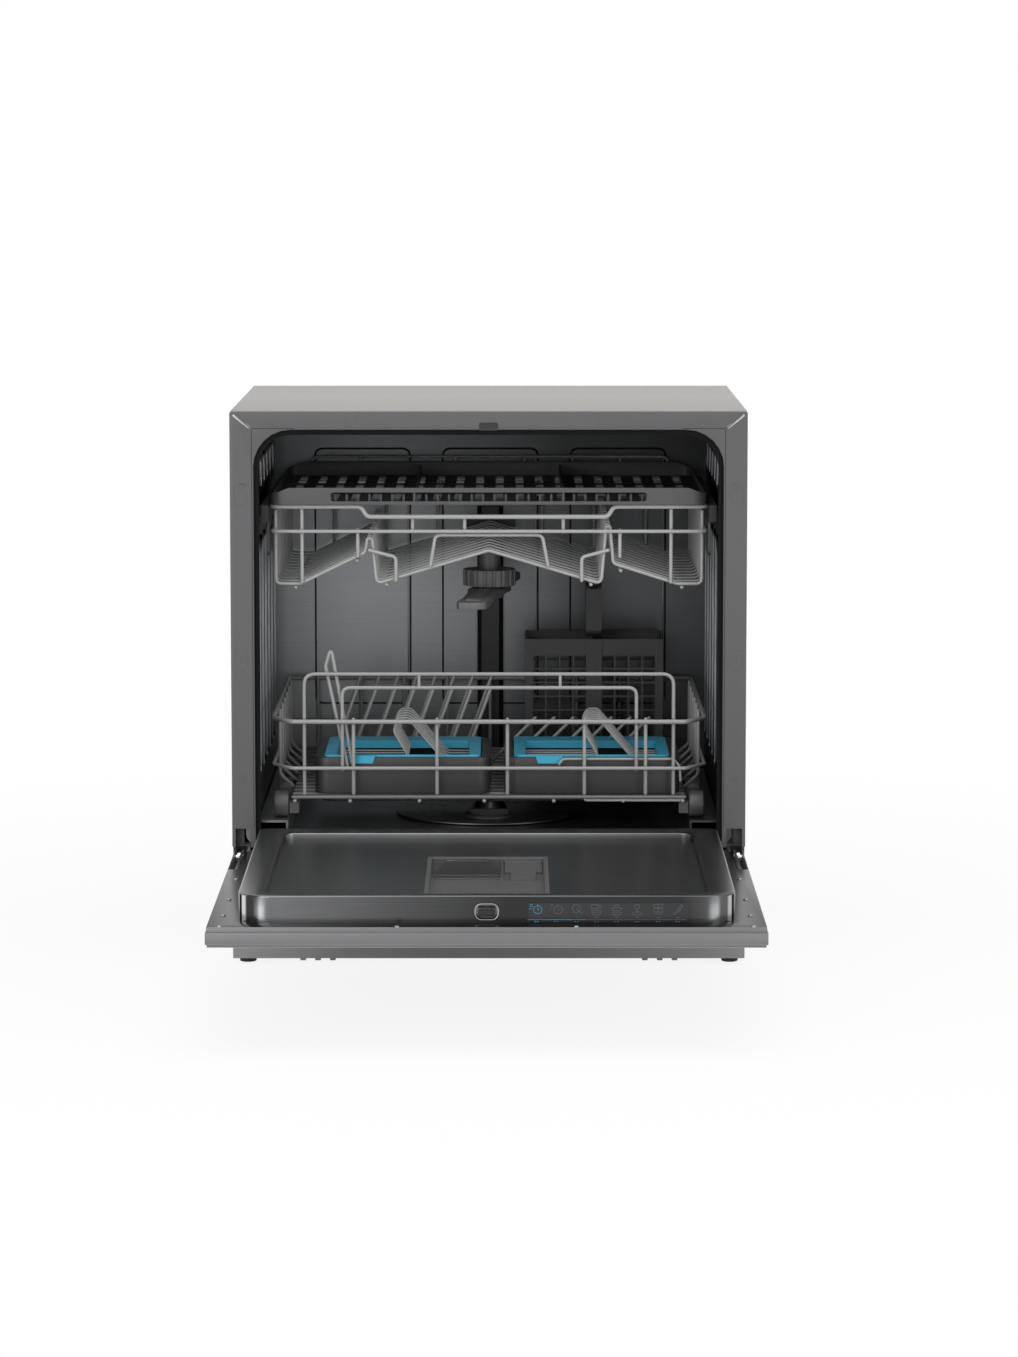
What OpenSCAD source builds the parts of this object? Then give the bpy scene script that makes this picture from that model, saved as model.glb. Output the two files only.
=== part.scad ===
/* [Cabinet] */
// Width of the cabinet
cab_w = 550; // [520:5:600]
// Height from the floor to the top sheet
cab_h = 595; // [590:5:640]
// Depth from the front plane to the back sheet
cab_d = 478; // [470:2:520]
// Thickness of the outer sheets
sheet_t = 1; // [0.8:0.1:1.5]
// Top of the moulded base above the floor
base_top = 80; // [76:1:81]
// Wall of the moulded base
base_wall = 2.5; // [2:0.5:4]
// Height of the feet
foot_h = 7; // [5:1:10]
// Diameter of a foot
foot_d = 18; // [14:1:24]
// Depth of the front frame
frame_t = 16; // [12:1:20]
// Width of the frame's side strips
frame_side = 25; // [22:1:30]
// Height of the frame's top strip
frame_top = 19.3; // [17:0.1:24]
// Radius of the opening's upper corners
open_r = 40; // [30:1:50]

/* [Tub] */
// Gap between the tub's back wall and the back of the cabinet
tub_gap = 30; // [28:1:34]
// Wall of the tub
tub_t = 0.8; // [0.8:0.1:1.2]
// Height of the tub's floor
tub_floor = 132; // [131:0.5:134]
// Centre of the sump and the lower arm behind the front plane
sump_y = 225; // [220:1:230]
// Depth of the water column on the back wall
column_t = 12; // [10:1:13]
// Width of the water column
column_w = 30; // [24:1:36]

/* [Door] */
// Height of the hinge axis
hinge_z = 118; // [117:0.5:119]
// Distance of the hinge axis in front of the front plane
hinge_out = 10; // [9:0.5:11]
// Thickness of the outer panel
panel_t = 20; // [17:1:22]
// Gap between the panel and the front plane when shut
panel_gap = 2; // [1.5:0.5:3]
// Length of the panel above the hinge axis
panel_up = 475; // [470:1:476]
// Length of the panel below the hinge axis
panel_down = 34; // [28:1:35]
// How far the liner stands into the tub
liner_t = 27; // [24:1:28]
// Width of the track that the lower rollers use on the liner
track_w = 27; // [24:1:30]

/* [Baskets] */
// Diameter of the rim wires
rim_d = 5; // [4:0.5:5]
// Diameter of the other wires
wire_d = 4; // [3:0.5:4]
// Radius of the lower basket's rollers
roller_r = 14; // [12:0.5:14]
// Height of the lower basket's rim
lower_rim = 258.6; // [250:0.1:262]
// Height of the lower basket's front loops
lower_loop = 309.8; // [300:0.1:320]
// Depth of the upper basket below its rim
upper_drop = 84; // [82:0.5:86]
// Rim level of the upper basket
upper_rim = 490; // [486:0.5:492]
// Number of profiled cross wires in the upper basket
upper_count = 12; // [8:1:16]
// Depth of a tray insert
tray_depth = 165; // [150:1:168]
// Width of a tray insert
tray_w = 190; // [180:1:192]
// Height of a tray insert
tray_h = 39.6; // [34:0.2:44]
// Wall of a tray insert
tray_t = 2.4; // [2:0.2:3]
// Number of tines in a row
tine_count = 8; // [6:1:8]
// Pitch of the tines
tine_pitch = 21.3; // [18:0.1:21.3]
// Length of an upright tine
tine_len = 91; // [70:1:92]

/* [Hidden] */
// Clearance between pieces that move past each other
run = 0.3;
// Clearance between wires that are welded crosswise
weld = 0.05;
arc_n = 6;
half_w = cab_w / 2;
tub_back = cab_d - tub_gap;
hinge_y = -hinge_out;
// Heights above the hinge axis of the open door's faces
panel_in = hinge_out - panel_gap;
panel_out = panel_in - panel_t;
liner_in = panel_in + liner_t;
reach = panel_up + hinge_out;
front_y = (reach - cab_d) / 2;
panel_half = half_w - 2;
open_half = half_w - frame_side;
open_top = cab_h - frame_top;
sill_low = hinge_z + panel_in + 1.6;
sill_high = sill_low + 6;
seal_w = 5.5;
seal_y = [4, 12];
liner_half = open_half - seal_w - 1;
liner_low = 19;
liner_high = panel_up - 27;
liner_r = open_r - seal_w - 1.5;
latch_z = hinge_z + panel_in + 11;
track_z = hinge_z + liner_in;
tub_half = open_half;
tub_front = frame_t + 0.1;
tub_top = open_top + 1.4;
tub_r = 24;
pocket_r = norm([panel_down, panel_out]) + 1.5;
base_back = cab_d - sheet_t;
beam_y = hinge_y + pocket_r + 1;
inlet_x = -170;
barb_x = -137;
foot_x = half_w - 15;
foot_y = [24, cab_d - 24];
pivot_r = 4;
pivot_in = half_w - 19;
pivot_out = half_w - 4.5;

// Lower basket, where it stands when pushed in
roller_z = track_z + run + roller_r;
basket_half = open_half - 14 - rim_d / 2;
lower_front = 37.5;
lower_back = tub_back - column_t - 2 - rim_d;
runner_z = roller_z + 4.7;
cross_z = runner_z + wire_d + weld;
floor_top = cross_z + wire_d / 2;
lower_mid = 208;
lower_travel = 385;
roller_x = [basket_half - 17, basket_half - 1.5];
roller_y = [lower_front + 16, lower_front + 118, lower_back - 130, lower_back - 22];
runner_out = basket_half - 24;
runner_x = [-runner_out, -150, -75, -5, 70, 145, runner_out];
cross_n = 16;
cross_step = (lower_back - lower_front - 8) / (cross_n - 1);
tray_z = floor_top + run;
tray_y = lower_front + 14;
tray_x = [-188.5, 16.5];
tray_rack = tray_z + tray_h - 8;
rack_n = 8;
rack_pitch = 16;
rack_d = 3.2;
blue_t = 4.5;
tine_d = 4;
axle_d = 5;
row_z = floor_top + run + axle_d / 2;
caddy_x = 40;
caddy_w = 157;
caddy_d = 92;
caddy_h = 137;
caddy_y = lower_back - 6 - wire_d - caddy_d;
caddy_z = floor_top + run;
caddy_t = 2;
handle_top = caddy_z + caddy_h + 61;

// Upper basket
upper_half = basket_half;
upper_front = 50;
upper_back = lower_back;
upper_low = upper_rim - upper_drop;
upper_mid = upper_rim - 26.7;
upper_arm_y = 215;
rail_in = upper_half + rim_d / 2 + weld;
rail_t = 1.2;
rail_z = upper_rim - 6;
rail_r = 7.5;
rail_out = open_half - seal_w - 0.8;
rail_y = [30, upper_back];
rail_roller_y = [46, 112];
pipe_r = 8;
arch = upper_low + 36;
pipe_z = arch - wire_d / 2 - pipe_r - 0.4;
nut_r = 29.5;
nut_z = [pipe_z - 42.6, pipe_z - 24.6];
arm_z = [pipe_z - 52, pipe_z - 43.6];
arm_len = 178;
lower_arm_z = [147, 159];
lower_arm_len = 188;
tray3_z = upper_rim + rim_d / 2 + run;
tray3_h = 18;

// Section across the upper basket: place across the width, and height
crest = upper_low + 49;
profile = [
    [-upper_half + 4, upper_mid + 22], [-upper_half + 4, upper_low], [-203, upper_low], [-133, upper_low + 34],
    [-131, crest], [-125.5, crest], [-121, upper_low], [0, arch], [121, upper_low], [125.5, crest], [131, crest],
    [134, upper_low + 22], [203, upper_low], [upper_half - 4, upper_low], [upper_half - 4, upper_mid + 22]
];

steel = "#6c6f72";
dark = "#3c3f42";
plastic = "#4b4d4f";
wire_grey = "#a4a6a6";
blue = "#3fa9cf";

module block(lo, hi) { translate(lo) cube(hi - lo); }
module both_sides() { children(); mirror([1, 0, 0]) children(); }
// Outlines drawn in x and z, y and z, or x and y, and given their depth
module across_y(y0, y1) { translate([0, y1, 0]) rotate([90, 0, 0]) linear_extrude(y1 - y0) children(); }
module across_x(x0, x1) { translate([x0, 0, 0]) rotate([90, 0, 90]) linear_extrude(x1 - x0) children(); }
module across_z(z0, z1) { translate([0, 0, z0]) linear_extrude(z1 - z0) children(); }
// A block given as x, length up the door and height off the hinge axis, laid down with the door open
module door_block(lo, hi) {
    translate([lo.x, hinge_y - hi.y, hinge_z + lo.z]) cube([hi.x - lo.x, hi.y - lo.y, hi.z - lo.z]);
}
function arc(c, r, a0, a1) = [for (i = [0:arc_n]) let (a = a0 + (a1 - a0) * i / arc_n) c + r * [cos(a), sin(a)]];
function round_rect(lo, hi, r) = concat(
    arc([hi.x - r, hi.y - r], r, 0, 90), arc([lo.x + r, hi.y - r], r, 90, 180),
    arc([lo.x + r, lo.y + r], r, 180, 270), arc([hi.x - r, lo.y + r], r, 270, 360));
// Outline with rounded top corners and square lower ones
function door_way(lo, hi, r) = concat(
    arc([hi.x - r, hi.y - r], r, 0, 90), arc([lo.x + r, hi.y - r], r, 90, 180), [lo, [hi.x, lo.y]]);
module rod(a, b, d = wire_d) {
    v = b - a;
    translate(a) rotate([0, acos(v.z / norm(v)), atan2(v.y, v.x)]) cylinder(h = norm(v), d = d, $fn = 20);
}
// A bent wire as straight rods, each ending just short of the bend
function bend_gap(p, i, d) = i == 0 || i == len(p) - 1 ? 0
    : let (u = (p[i] - p[i - 1]) / norm(p[i] - p[i - 1]), v = (p[i + 1] - p[i]) / norm(p[i + 1] - p[i]), c = u * v)
        d / 2 * sqrt((1 - c) / (1 + c)) + weld / 2;
module wire(p, d = wire_d) {
    for (i = [0:len(p) - 2]) {
        u = (p[i + 1] - p[i]) / norm(p[i + 1] - p[i]);
        rod(p[i] + u * bend_gap(p, i, d), p[i + 1] - u * bend_gap(p, i + 1, d), d);
    }
}
// Direction of the mitre at each bend of a flat path
function turned(v) = [-v.y, v.x] / norm(v);
function mitre(p, i) = let (a = turned(p[max(i, 1)] - p[max(i, 1) - 1]),
                            b = turned(p[min(i, len(p) - 2) + 1] - p[min(i, len(p) - 2)]), m = (a + b) / norm(a + b))
    m / (m * a);
// A flat bent wire as straight lengths that meet at its mitred bends
module jointed_wire(p, y, d = wire_d) {
    across_y(y - d / 2, y + d / 2) for (i = [0:len(p) - 2]) {
        along = (p[i + 1] - p[i]) / norm(p[i + 1] - p[i]) * weld / 2;
        polygon([p[i] + mitre(p, i) * d / 2 + along, p[i + 1] + mitre(p, i + 1) * d / 2 - along,
                 p[i + 1] - mitre(p, i + 1) * d / 2 - along, p[i] - mitre(p, i) * d / 2 + along]);
    }
}
function on_y(p, y) = [for (q = p) [q.x, y, q.y]];

// Cabinet

module base_tray() {
    color(plastic) difference() {
        block([-half_w, 0, foot_h], [half_w, base_back, base_top]);
        block([-half_w + base_wall, base_wall, foot_h + base_wall],
              [half_w - base_wall, base_back - base_wall, base_top + 1]);
        for (x = [-foot_x, foot_x], y = foot_y) translate([x, y, 0]) cylinder(h = foot_h + 2.2, d = 9.4, $fn = 24);
        // Recess behind for the water inlet and the drain spigot
        block([-215, base_back - 40, 22], [-125, base_back + 1, 70]);
        for (i = [0:8]) block([60 + i * 20, base_back - 5, 30], [70 + i * 20, base_back + 1, 56]);
    }
    color(plastic) for (x = [-200, -184, -168, 168, 184, 200])
        block([x - 3, 4, foot_h - 3], [x + 3, 18, foot_h]);
    color(plastic) difference() {
        block([-215 - base_wall, base_back - 40 - base_wall, foot_h + base_wall],
              [-125 + base_wall, base_back - base_wall, base_top]);
        block([-215, base_back - 40, 22], [-125, base_back, 70]);
        translate([inlet_x, base_back - 41, 46]) rotate([90, 0, 0])
            cylinder(h = 8, d = 20.6, center = true, $fn = 40);
        translate([barb_x, base_back - 41, 46]) rotate([90, 0, 0])
            cylinder(h = 8, d = 14.6, center = true, $fn = 32);
    }
}

module feet() {
    color(dark) for (x = [-foot_x, foot_x], y = foot_y) translate([x, y, 0]) {
        cylinder(h = foot_h, d = foot_d, $fn = 32);
        translate([0, 0, foot_h - 0.01]) cylinder(h = 2, d = 9, $fn = 24);
    }
}

module side_panels() {
    y0 = frame_t + 0.1;
    color(steel) both_sides() {
        difference() {
            block([half_w - sheet_t, y0, base_top], [half_w, base_back, cab_h - sheet_t]);
            for (i = [0:6]) translate([half_w, cab_d - 120 + i * 12, base_top + 40]) rotate([0, 90, 0])
                block([-22, -2, -3], [22, 2, 3]);
        }
        block([half_w - 12, y0, sill_low], [half_w - sheet_t, y0 + sheet_t, cab_h - sheet_t - 12]);
        block([half_w - 14, base_back - sheet_t, base_top], [half_w - sheet_t, base_back, cab_h - sheet_t - 12]);
    }
}

module top_cover() {
    color("#9a9b98") {
        block([-half_w, frame_t + 0.1, cab_h - sheet_t], [half_w, cab_d, cab_h]);
        both_sides() block([half_w - 2 * sheet_t, frame_t + 20, cab_h - 11],
                           [half_w - sheet_t, base_back - 20, cab_h - sheet_t]);
        block([-half_w + 30, base_back - 2 * sheet_t, cab_h - 11], [half_w - 30, base_back - sheet_t, cab_h - sheet_t]);
    }
}

module back_panel() {
    color(steel) difference() {
        union() {
            across_y(base_back, cab_d) difference() {
                polygon(round_rect([-half_w, base_top], [half_w, cab_h - sheet_t], 3));
                for (i = [0:11]) translate([-66 + i * 12, 120]) square([4, 44], center = true);
            }
            across_y(base_back - 3, base_back)
                polygon(round_rect([-half_w + 60, 190], [half_w - 60, cab_h - 70], 16));
        }
        across_y(base_back - 2, cab_d + 1) polygon(round_rect([-half_w + 62, 192], [half_w - 62, cab_h - 72], 15));
    }
}

module front_frame() {
    z0 = sill_low;
    color(steel) difference() {
        union() {
            across_y(0, frame_t) difference() {
                polygon(round_rect([-half_w, z0], [half_w, cab_h], 2));
                polygon(door_way([-open_half, sill_high], [open_half, open_top], open_r));
            }
            // Short raised bars along the mitred upper corners
            both_sides() translate([half_w - 15, 0, cab_h - 11]) rotate([0, -42, 0])
                block([-13, -0.6, -0.6], [13, 0, 0.6]);
        }
        // Hollow behind the folded sheet
        across_y(1.2, frame_t + 1) difference() {
            polygon(round_rect([-half_w + 1.2, z0 + 1.2], [half_w - 1.2, cab_h - 1.2], 1));
            polygon(door_way([-open_half - 1.2, z0], [open_half + 1.2, open_top + 1.2], open_r + 1.2));
        }
        // Slot for the striker and shallow plug marks
        block([-10, 3, open_top - 1], [10, 10, open_top + 5]);
        both_sides() for (z = [open_top - 60, 330, 200]) translate([half_w - 13, 0, z]) rotate([90, 0, 0])
            cylinder(h = 1, d = 7, center = true, $fn = 24);
        for (x = [-150, 150]) translate([x, 0, cab_h - 10]) rotate([90, 0, 0])
            cylinder(h = 1, d = 7, center = true, $fn = 24);
        // Dark slots for the hinge brackets at the foot of the side strips
        both_sides() block([pivot_in - 1, -1, z0 - 1], [pivot_out + 1, frame_t - 3, hinge_z + 30]);
    }
}

module pocket_beam() {
    color(dark) {
        block([-half_w + 3, beam_y, base_top], [half_w - 3, beam_y + 2, tub_floor - 3]);
        block([-half_w + 3, beam_y + 2, base_top], [half_w - 3, beam_y + 14, base_top + 2]);
    }
}

module tub() {
    color("#4a4f54") {
        difference() {
            across_y(tub_front, tub_back + tub_t) difference() {
                polygon(round_rect([-tub_half - tub_t, tub_floor - tub_t], [tub_half + tub_t, tub_top + tub_t], tub_r));
                polygon(round_rect([-tub_half, tub_floor], [tub_half, tub_top], tub_r - tub_t));
            }
            translate([0, sump_y, tub_floor]) cylinder(h = 6, d = 150, center = true, $fn = 60);
        }
        across_y(tub_back, tub_back + tub_t)
            polygon(round_rect([-tub_half, tub_floor], [tub_half, tub_top], tub_r - tub_t));
        // Pressed panels on the back wall and pressed ribs on the side walls
        across_y(tub_back - 2, tub_back) for (x = [-148, 0, 148])
            polygon(round_rect([x - 54, 228], [x + 54, 523], 8));
        both_sides() across_x(tub_half - 1.6, tub_half) for (i = [0:5])
            polygon(round_rect([62 + i * 64, 196], [84 + i * 64, 452], 10));
        // Flange that carries the tub on the frame
        across_y(tub_front, tub_front + tub_t) difference() {
            polygon(round_rect([-half_w + 14, sill_low + 2], [half_w - 14, cab_h - 6], 10));
            polygon(round_rect([-tub_half, tub_floor], [tub_half, tub_top], tub_r - tub_t));
        }
    }
}

module door_seal() {
    color("#232425") across_y(seal_y.x, seal_y.y) difference() {
        polygon(door_way([-open_half, sill_high], [open_half, open_top], open_r));
        polygon(door_way([-open_half + seal_w, sill_high - 1], [open_half - seal_w, open_top - seal_w],
                         open_r - seal_w));
    }
}

module latch_striker() {
    color(dark) {
        block([-9.5, 3.5, open_top - 1], [9.5, 3.9, open_top + 4.5]);
        block([-9.5, 3.9, open_top + 3.5], [9.5, 9.6, open_top + 4.5]);
    }
}

module hinge_brackets() {
    color(dark) both_sides() difference() {
        union() {
            across_x(pivot_in, pivot_in + 4) {
                translate([hinge_y, hinge_z]) circle(r = 7, $fn = 32);
                polygon([[hinge_y, hinge_z - 6], [beam_y, hinge_z - 6], [beam_y, sill_low - 0.3],
                         [5, sill_low - 0.3], [hinge_y, hinge_z + 7]]);
            }
            // Flange on the cross beam
            block([pivot_in - 14, beam_y - 2, hinge_z - 6], [pivot_in + 4, beam_y, sill_low - 0.3]);
        }
        translate([0, hinge_y, hinge_z]) rotate([0, 90, 0]) cylinder(h = cab_w, r = pivot_r, $fn = 32);
    }
}

module hinge_pins() {
    color("silver") both_sides() translate([pivot_in - 0.7, hinge_y, hinge_z]) rotate([0, 90, 0])
        cylinder(h = pivot_out - pivot_in + 0.7, r = pivot_r, $fn = 32);
}

// Wash circuit

module sump() {
    color(dark) translate([0, sump_y, 0]) rotate_extrude($fn = 72) difference() {
        polygon([[0, 84], [40, 84], [64, 100], [74.5, 124], [74.5, tub_floor], [86, tub_floor], [86, tub_floor + 1.5],
                 [0, tub_floor + 1.5]]);
        polygon([[-1, 87], [38, 87], [61, 102], [71.5, 125], [71.5, tub_floor + 2], [-1, tub_floor + 2]]);
    }
}

module filter_plate() {
    z = tub_floor + 1.5;
    color("#8d9092") difference() {
        across_z(z, z + 1.2) difference() {
            translate([0, sump_y]) circle(d = 210, $fn = 72);
            translate([0, sump_y - 48]) circle(d = 46, $fn = 48);
            translate([0, sump_y]) circle(d = 26, $fn = 36);
            for (a = [30:30:330], r = [58, 74, 90]) if (abs(a - 270) > 40)
                translate([0, sump_y]) rotate(a) translate([r, 0]) square([9, 3], center = true);
        }
    }
    color("#8d9092") translate([0, sump_y, z + 1.2]) difference() {
        cylinder(h = lower_arm_z.x - z - 1.2 - run, d1 = 40, d2 = 30, $fn = 36);
        translate([0, 0, -1]) cylinder(h = 30, d = 16, $fn = 36);
    }
}

module filter_cup() {
    color(plastic) translate([0, sump_y - 48, 0]) {
        difference() {
            union() {
                translate([0, 0, 125]) cylinder(h = 10, d = 44, $fn = 48);
                translate([0, 0, 104]) cylinder(h = 21, d1 = 20, d2 = 44, $fn = 48);
            }
            translate([0, 0, 106]) cylinder(h = 20, d1 = 17, d2 = 40, $fn = 48);
            translate([0, 0, 125.9]) cylinder(h = 10, d = 40, $fn = 48);
        }
        translate([0, 0, 135]) difference() {
            cylinder(h = 3, d = 55, $fn = 48);
            translate([0, 0, -1]) cylinder(h = 6, d = 40, $fn = 48);
        }
        block([-21, -2, 133], [21, 2, 143]);
    }
}

module wash_pump() {
    color("#2f3133") translate([112, 300, 54]) rotate([0, 90, 0]) {
        cylinder(h = 84, d = 78, $fn = 48);
        translate([0, 0, -34]) cylinder(h = 34, d = 62, $fn = 48);
        translate([0, 0, 84]) cylinder(h = 8, d = 30, $fn = 36);
    }
    color("#2f3133") block([122, 262, foot_h + base_wall], [186, 338, 18]);
}

module drain_pump() {
    color("#2f3133") translate([-88, 310, 46]) rotate([0, -90, 0]) {
        cylinder(h = 56, d = 52, $fn = 40);
        translate([0, 0, -24]) cylinder(h = 24, d = 40, $fn = 40);
    }
    color("#2f3133") block([-140, 290, foot_h + base_wall], [-100, 330, 22]);
}

module water_inlet() {
    y1 = cab_d - 0.5;
    wall = base_back - 40 - base_wall;
    // Valve with its threaded three quarter inch spigot, and the barb of the drain hose beside it
    color("#55585a") translate([inlet_x, 0, 46]) {
        block([-16, wall - 34, -15], [16, wall - 0.1, 15]);
        translate([0, wall - 1, 0]) rotate([-90, 0, 0]) cylinder(h = y1 - 15 - wall, d = 20, $fn = 40);
        translate([0, y1 - 17, 0]) rotate([-90, 0, 0]) cylinder(h = 3, d = 32, $fn = 6);
        translate([0, y1 - 14, 0]) rotate([-90, 0, 0]) difference() {
            cylinder(h = 14, r = 13.2, $fn = 48);
            translate([0, 0, 2]) cylinder(h = 14, d = 18, $fn = 40);
        }
    }
    color("#55585a") translate([barb_x, wall - 6, 46]) rotate([-90, 0, 0]) difference() {
        union() {
            cylinder(h = y1 - 2 - wall + 6, d = 14, $fn = 32);
            cylinder(h = 5.9, d = 24, $fn = 32);
            for (i = [0:3]) translate([0, 0, 28 + i * 4]) cylinder(h = 3, d1 = 15, d2 = 17.5, $fn = 32);
        }
        translate([0, 0, 4]) cylinder(h = 60, d = 10, $fn = 32);
    }
}

module water_column() {
    color("#1f2021") across_z(tub_floor + 4, pipe_z + 26)
        polygon([[-column_w / 2, tub_back - 2.1], [-column_w / 2, tub_back - column_t + 4],
                 [-column_w / 2 + 5, tub_back - column_t], [column_w / 2 - 5, tub_back - column_t],
                 [column_w / 2, tub_back - column_t + 4], [column_w / 2, tub_back - 2.1]]);
}

module docking_head() {
    y1 = tub_back - column_t - 0.1;
    color("#1f2021") difference() {
        across_y(y1 - 6, y1) polygon(round_rect([-29, pipe_z - 14], [29, pipe_z + 16], 6));
        translate([0, y1 - 7, pipe_z]) rotate([-90, 0, 0]) cylinder(h = 5, r = pipe_r + 2.4, $fn = 40);
    }
}

module lower_rails() {
    x0 = liner_half - track_w;
    y = [hinge_y + liner_in + 2, tub_back - 20];
    color("#4a4f54") both_sides() {
        block([x0, y.x, tub_floor + 0.2], [x0 + 2, y.y, track_z - 2.5 - weld]);
        block([x0, y.x, track_z - 2.5], [tub_half - 2, y.y, track_z]);
    }
}

// Half of a spray arm's outline along +x
function arm_half(len) = [[-1, 17], [34, 21], [len * 0.45, 17], [len * 0.8, 21], [len - 12, 20], [len - 3, 12],
                          [len, 2], [len - 3, -8], [len - 14, -12], [len * 0.7, -11], [len * 0.4, -14], [30, -20],
                          [-1, -17]];
module arm_blade(len, z0, z1) {
    difference() {
        union() {
            across_z(z0, z1) {
                polygon(arm_half(len));
                rotate(180) polygon(arm_half(len));
            }
            across_z(z0 + 2, z1 + 1) for (a = [0, 180]) rotate(a)
                polygon([[24, 7], [len * 0.85, 12], [len * 0.85, -4], [24, -7]]);
        }
        for (a = [0, 180], t = [0.3, 0.48, 0.64, 0.78, 0.9]) rotate(a)
            translate([len * t, 3, (z0 + z1) / 2]) cylinder(h = z1 - z0 + 6, d = 3.2, center = true, $fn = 16);
    }
}

module lower_spray_arm() {
    color("#7d8082") translate([0, sump_y, 0]) {
        arm_blade(lower_arm_len, lower_arm_z.x, lower_arm_z.y);
        translate([0, 0, lower_arm_z.y]) cylinder(h = 6, d1 = 34, d2 = 24, $fn = 36);
    }
}

module upper_spray_arm() {
    color("#7d8082") translate([0, upper_arm_y, 0]) {
        rotate(82) arm_blade(arm_len, arm_z.x, arm_z.y - 1);
        translate([0, 0, arm_z.y - 3]) cylinder(h = 11, d = 30, $fn = 36);
        translate([0, 0, nut_z.x + 5]) cylinder(h = 6, d = 42, $fn = 36);
    }
}

// Door, lying open

module door_panel() {
    slot = [pivot_in - 1, pivot_out - 1];
    color("#7b7d7e") difference() {
        union() {
            door_block([-panel_half + 1.6, -panel_down + 1.6, panel_out],
                       [panel_half - 1.6, panel_up - 3, panel_out + 3]);
            door_block([-panel_half, -panel_down, panel_out + 3], [panel_half, panel_up, panel_in - 5]);
            door_block([-panel_half + 1, -panel_down + 1, panel_in - 5], [panel_half - 1, panel_up - 4, panel_in]);
        }
        // Hollow inside the folded sheet, open under the liner
        door_block([-panel_half + 3.1, -panel_down + 3.1, panel_out + 1.5],
                   [panel_half - 3.1, panel_up - 4.5, panel_in - 1.5]);
        door_block([-liner_half + 6, liner_low + 8, panel_in - 2], [liner_half - 6, liner_high - 8, panel_in + 1]);
        both_sides() {
            door_block([slot.x, -panel_down - 1, -8.5], [slot.y, 9, panel_in + 1]);
            door_block([pivot_in + 5, -panel_down - 1, -8.5], [pivot_out + 0.6, 126, panel_in + 1]);
        }
    }
}

module hinge_arms() {
    x0 = pivot_in + 5.6;
    color("silver") both_sides() difference() {
        union() {
            door_block([x0, -6, -5.5], [x0 + 3, 125, panel_in - 0.4]);
            translate([x0, hinge_y, hinge_z]) rotate([0, 90, 0]) cylinder(h = 7, r = 7, $fn = 32);
        }
        translate([0, hinge_y, hinge_z]) rotate([0, 90, 0]) cylinder(h = cab_w, r = pivot_r + 0.08, $fn = 32);
    }
}

module door_liner() {
    x1 = liner_half;
    z1 = hinge_z + liner_in;
    well = [liner_low + 34, liner_high - 16];
    y = [hinge_y - liner_high, hinge_y - liner_low];
    color("#8c8e8f") difference() {
        across_z(hinge_z + panel_in, z1)
            polygon(concat(arc([x1 - 9, y.y - 9], 9, 0, 90), arc([9 - x1, y.y - 9], 9, 90, 180),
                           arc([liner_r - x1, y.x + liner_r], liner_r, 180, 270),
                           arc([x1 - liner_r, y.x + liner_r], liner_r, 270, 360)));
        // Hollow behind the skin, deeper round the shallow well in the middle of the face
        door_block([-x1 + 2, liner_low + 2, panel_in - 1], [x1 - 2, liner_high - 18, liner_in - 8]);
        across_z(z1 - 8.1, z1 - 2) difference() {
            translate([2 - x1, hinge_y - liner_high + 18]) square([2 * x1 - 4, liner_high - 18 - liner_low - 2]);
            polygon(round_rect([-x1 + track_w - 2, hinge_y - well.y - 2],
                               [x1 - track_w + 2, hinge_y - well.x + 2], 16));
        }
        across_z(z1 - 6, z1 + 1)
            polygon(round_rect([-x1 + track_w, hinge_y - well.y], [x1 - track_w, hinge_y - well.x], 14));
        // Seat of the dispenser, the latch and the control strip
        door_block([-62, 195, panel_in + 2], [62, 428, liner_in + 1]);
        across_y(hinge_y - liner_high - 1, hinge_y - liner_high + 13)
            polygon(round_rect([-12.3, latch_z - 9], [12.3, latch_z + 9], 7.3));
        door_block([40, liner_high - 1.5, panel_in + 0.6], [198, liner_high + 1, panel_in + 20]);
    }
}

module control_strip() {
    color("#262829") door_block([40.2, liner_high - 1.3, panel_in + 0.8], [197.8, liner_high - 0.1, panel_in + 19.8]);
}

module dispenser_body() {
    u = [195.3, 427.7];
    color(plastic) difference() {
        union() {
            door_block([-61.7, u.x, liner_in - 20], [61.7, u.y, liner_in - 6]);
            door_block([-61.7, u.x, liner_in - 6], [61.7, u.x + 6, liner_in - 2]);
            door_block([-61.7, u.y - 6, liner_in - 6], [61.7, u.y, liner_in - 2]);
            both_sides() door_block([57, u.x, liner_in - 6], [61.7, u.y, liner_in - 2]);
        }
        // Detergent cup under the sliding lid, and the rinse aid filler under the flap
        door_block([-48, 216, liner_in - 17], [7, 274, liner_in - 5]);
        translate([37, hinge_y - 240, hinge_z + liner_in - 17]) cylinder(h = 20, d = 18, $fn = 32);
        door_block([16, 204, liner_in - 8.2], [56, 322, liner_in - 5]);
        // Finger ledge below the sliding lid
        door_block([-54, 312, liner_in - 7], [12, 376, liner_in - 5]);
    }
}

module detergent_lid() {
    z0 = liner_in - 6 + run;
    color("#2b2d2f") {
        door_block([-55, 205, z0], [13.5, 303, z0 + 2.4]);
        door_block([-42, 214, z0 + 2.4], [0, 217, z0 + 3.6]);
    }
}

module rinse_aid_flap() {
    z0 = liner_in - 8.2 + run;
    color(plastic) {
        door_block([17.5, 210, z0], [55, 269, z0 + 2.4]);
        translate([17.5, hinge_y - 207.5, hinge_z + z0 + 1.4]) rotate([0, 90, 0])
            cylinder(h = 37.5, r = 1.4, $fn = 20);
        door_block([17.5, 207.5, z0], [55, 210, z0 + 2.4]);
        door_block([23.5, 269, z0], [49, 318, z0 + 2.4]);
        door_block([25, 300, z0 + 2.4], [47.5, 316, z0 + 4]);
    }
}

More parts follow.
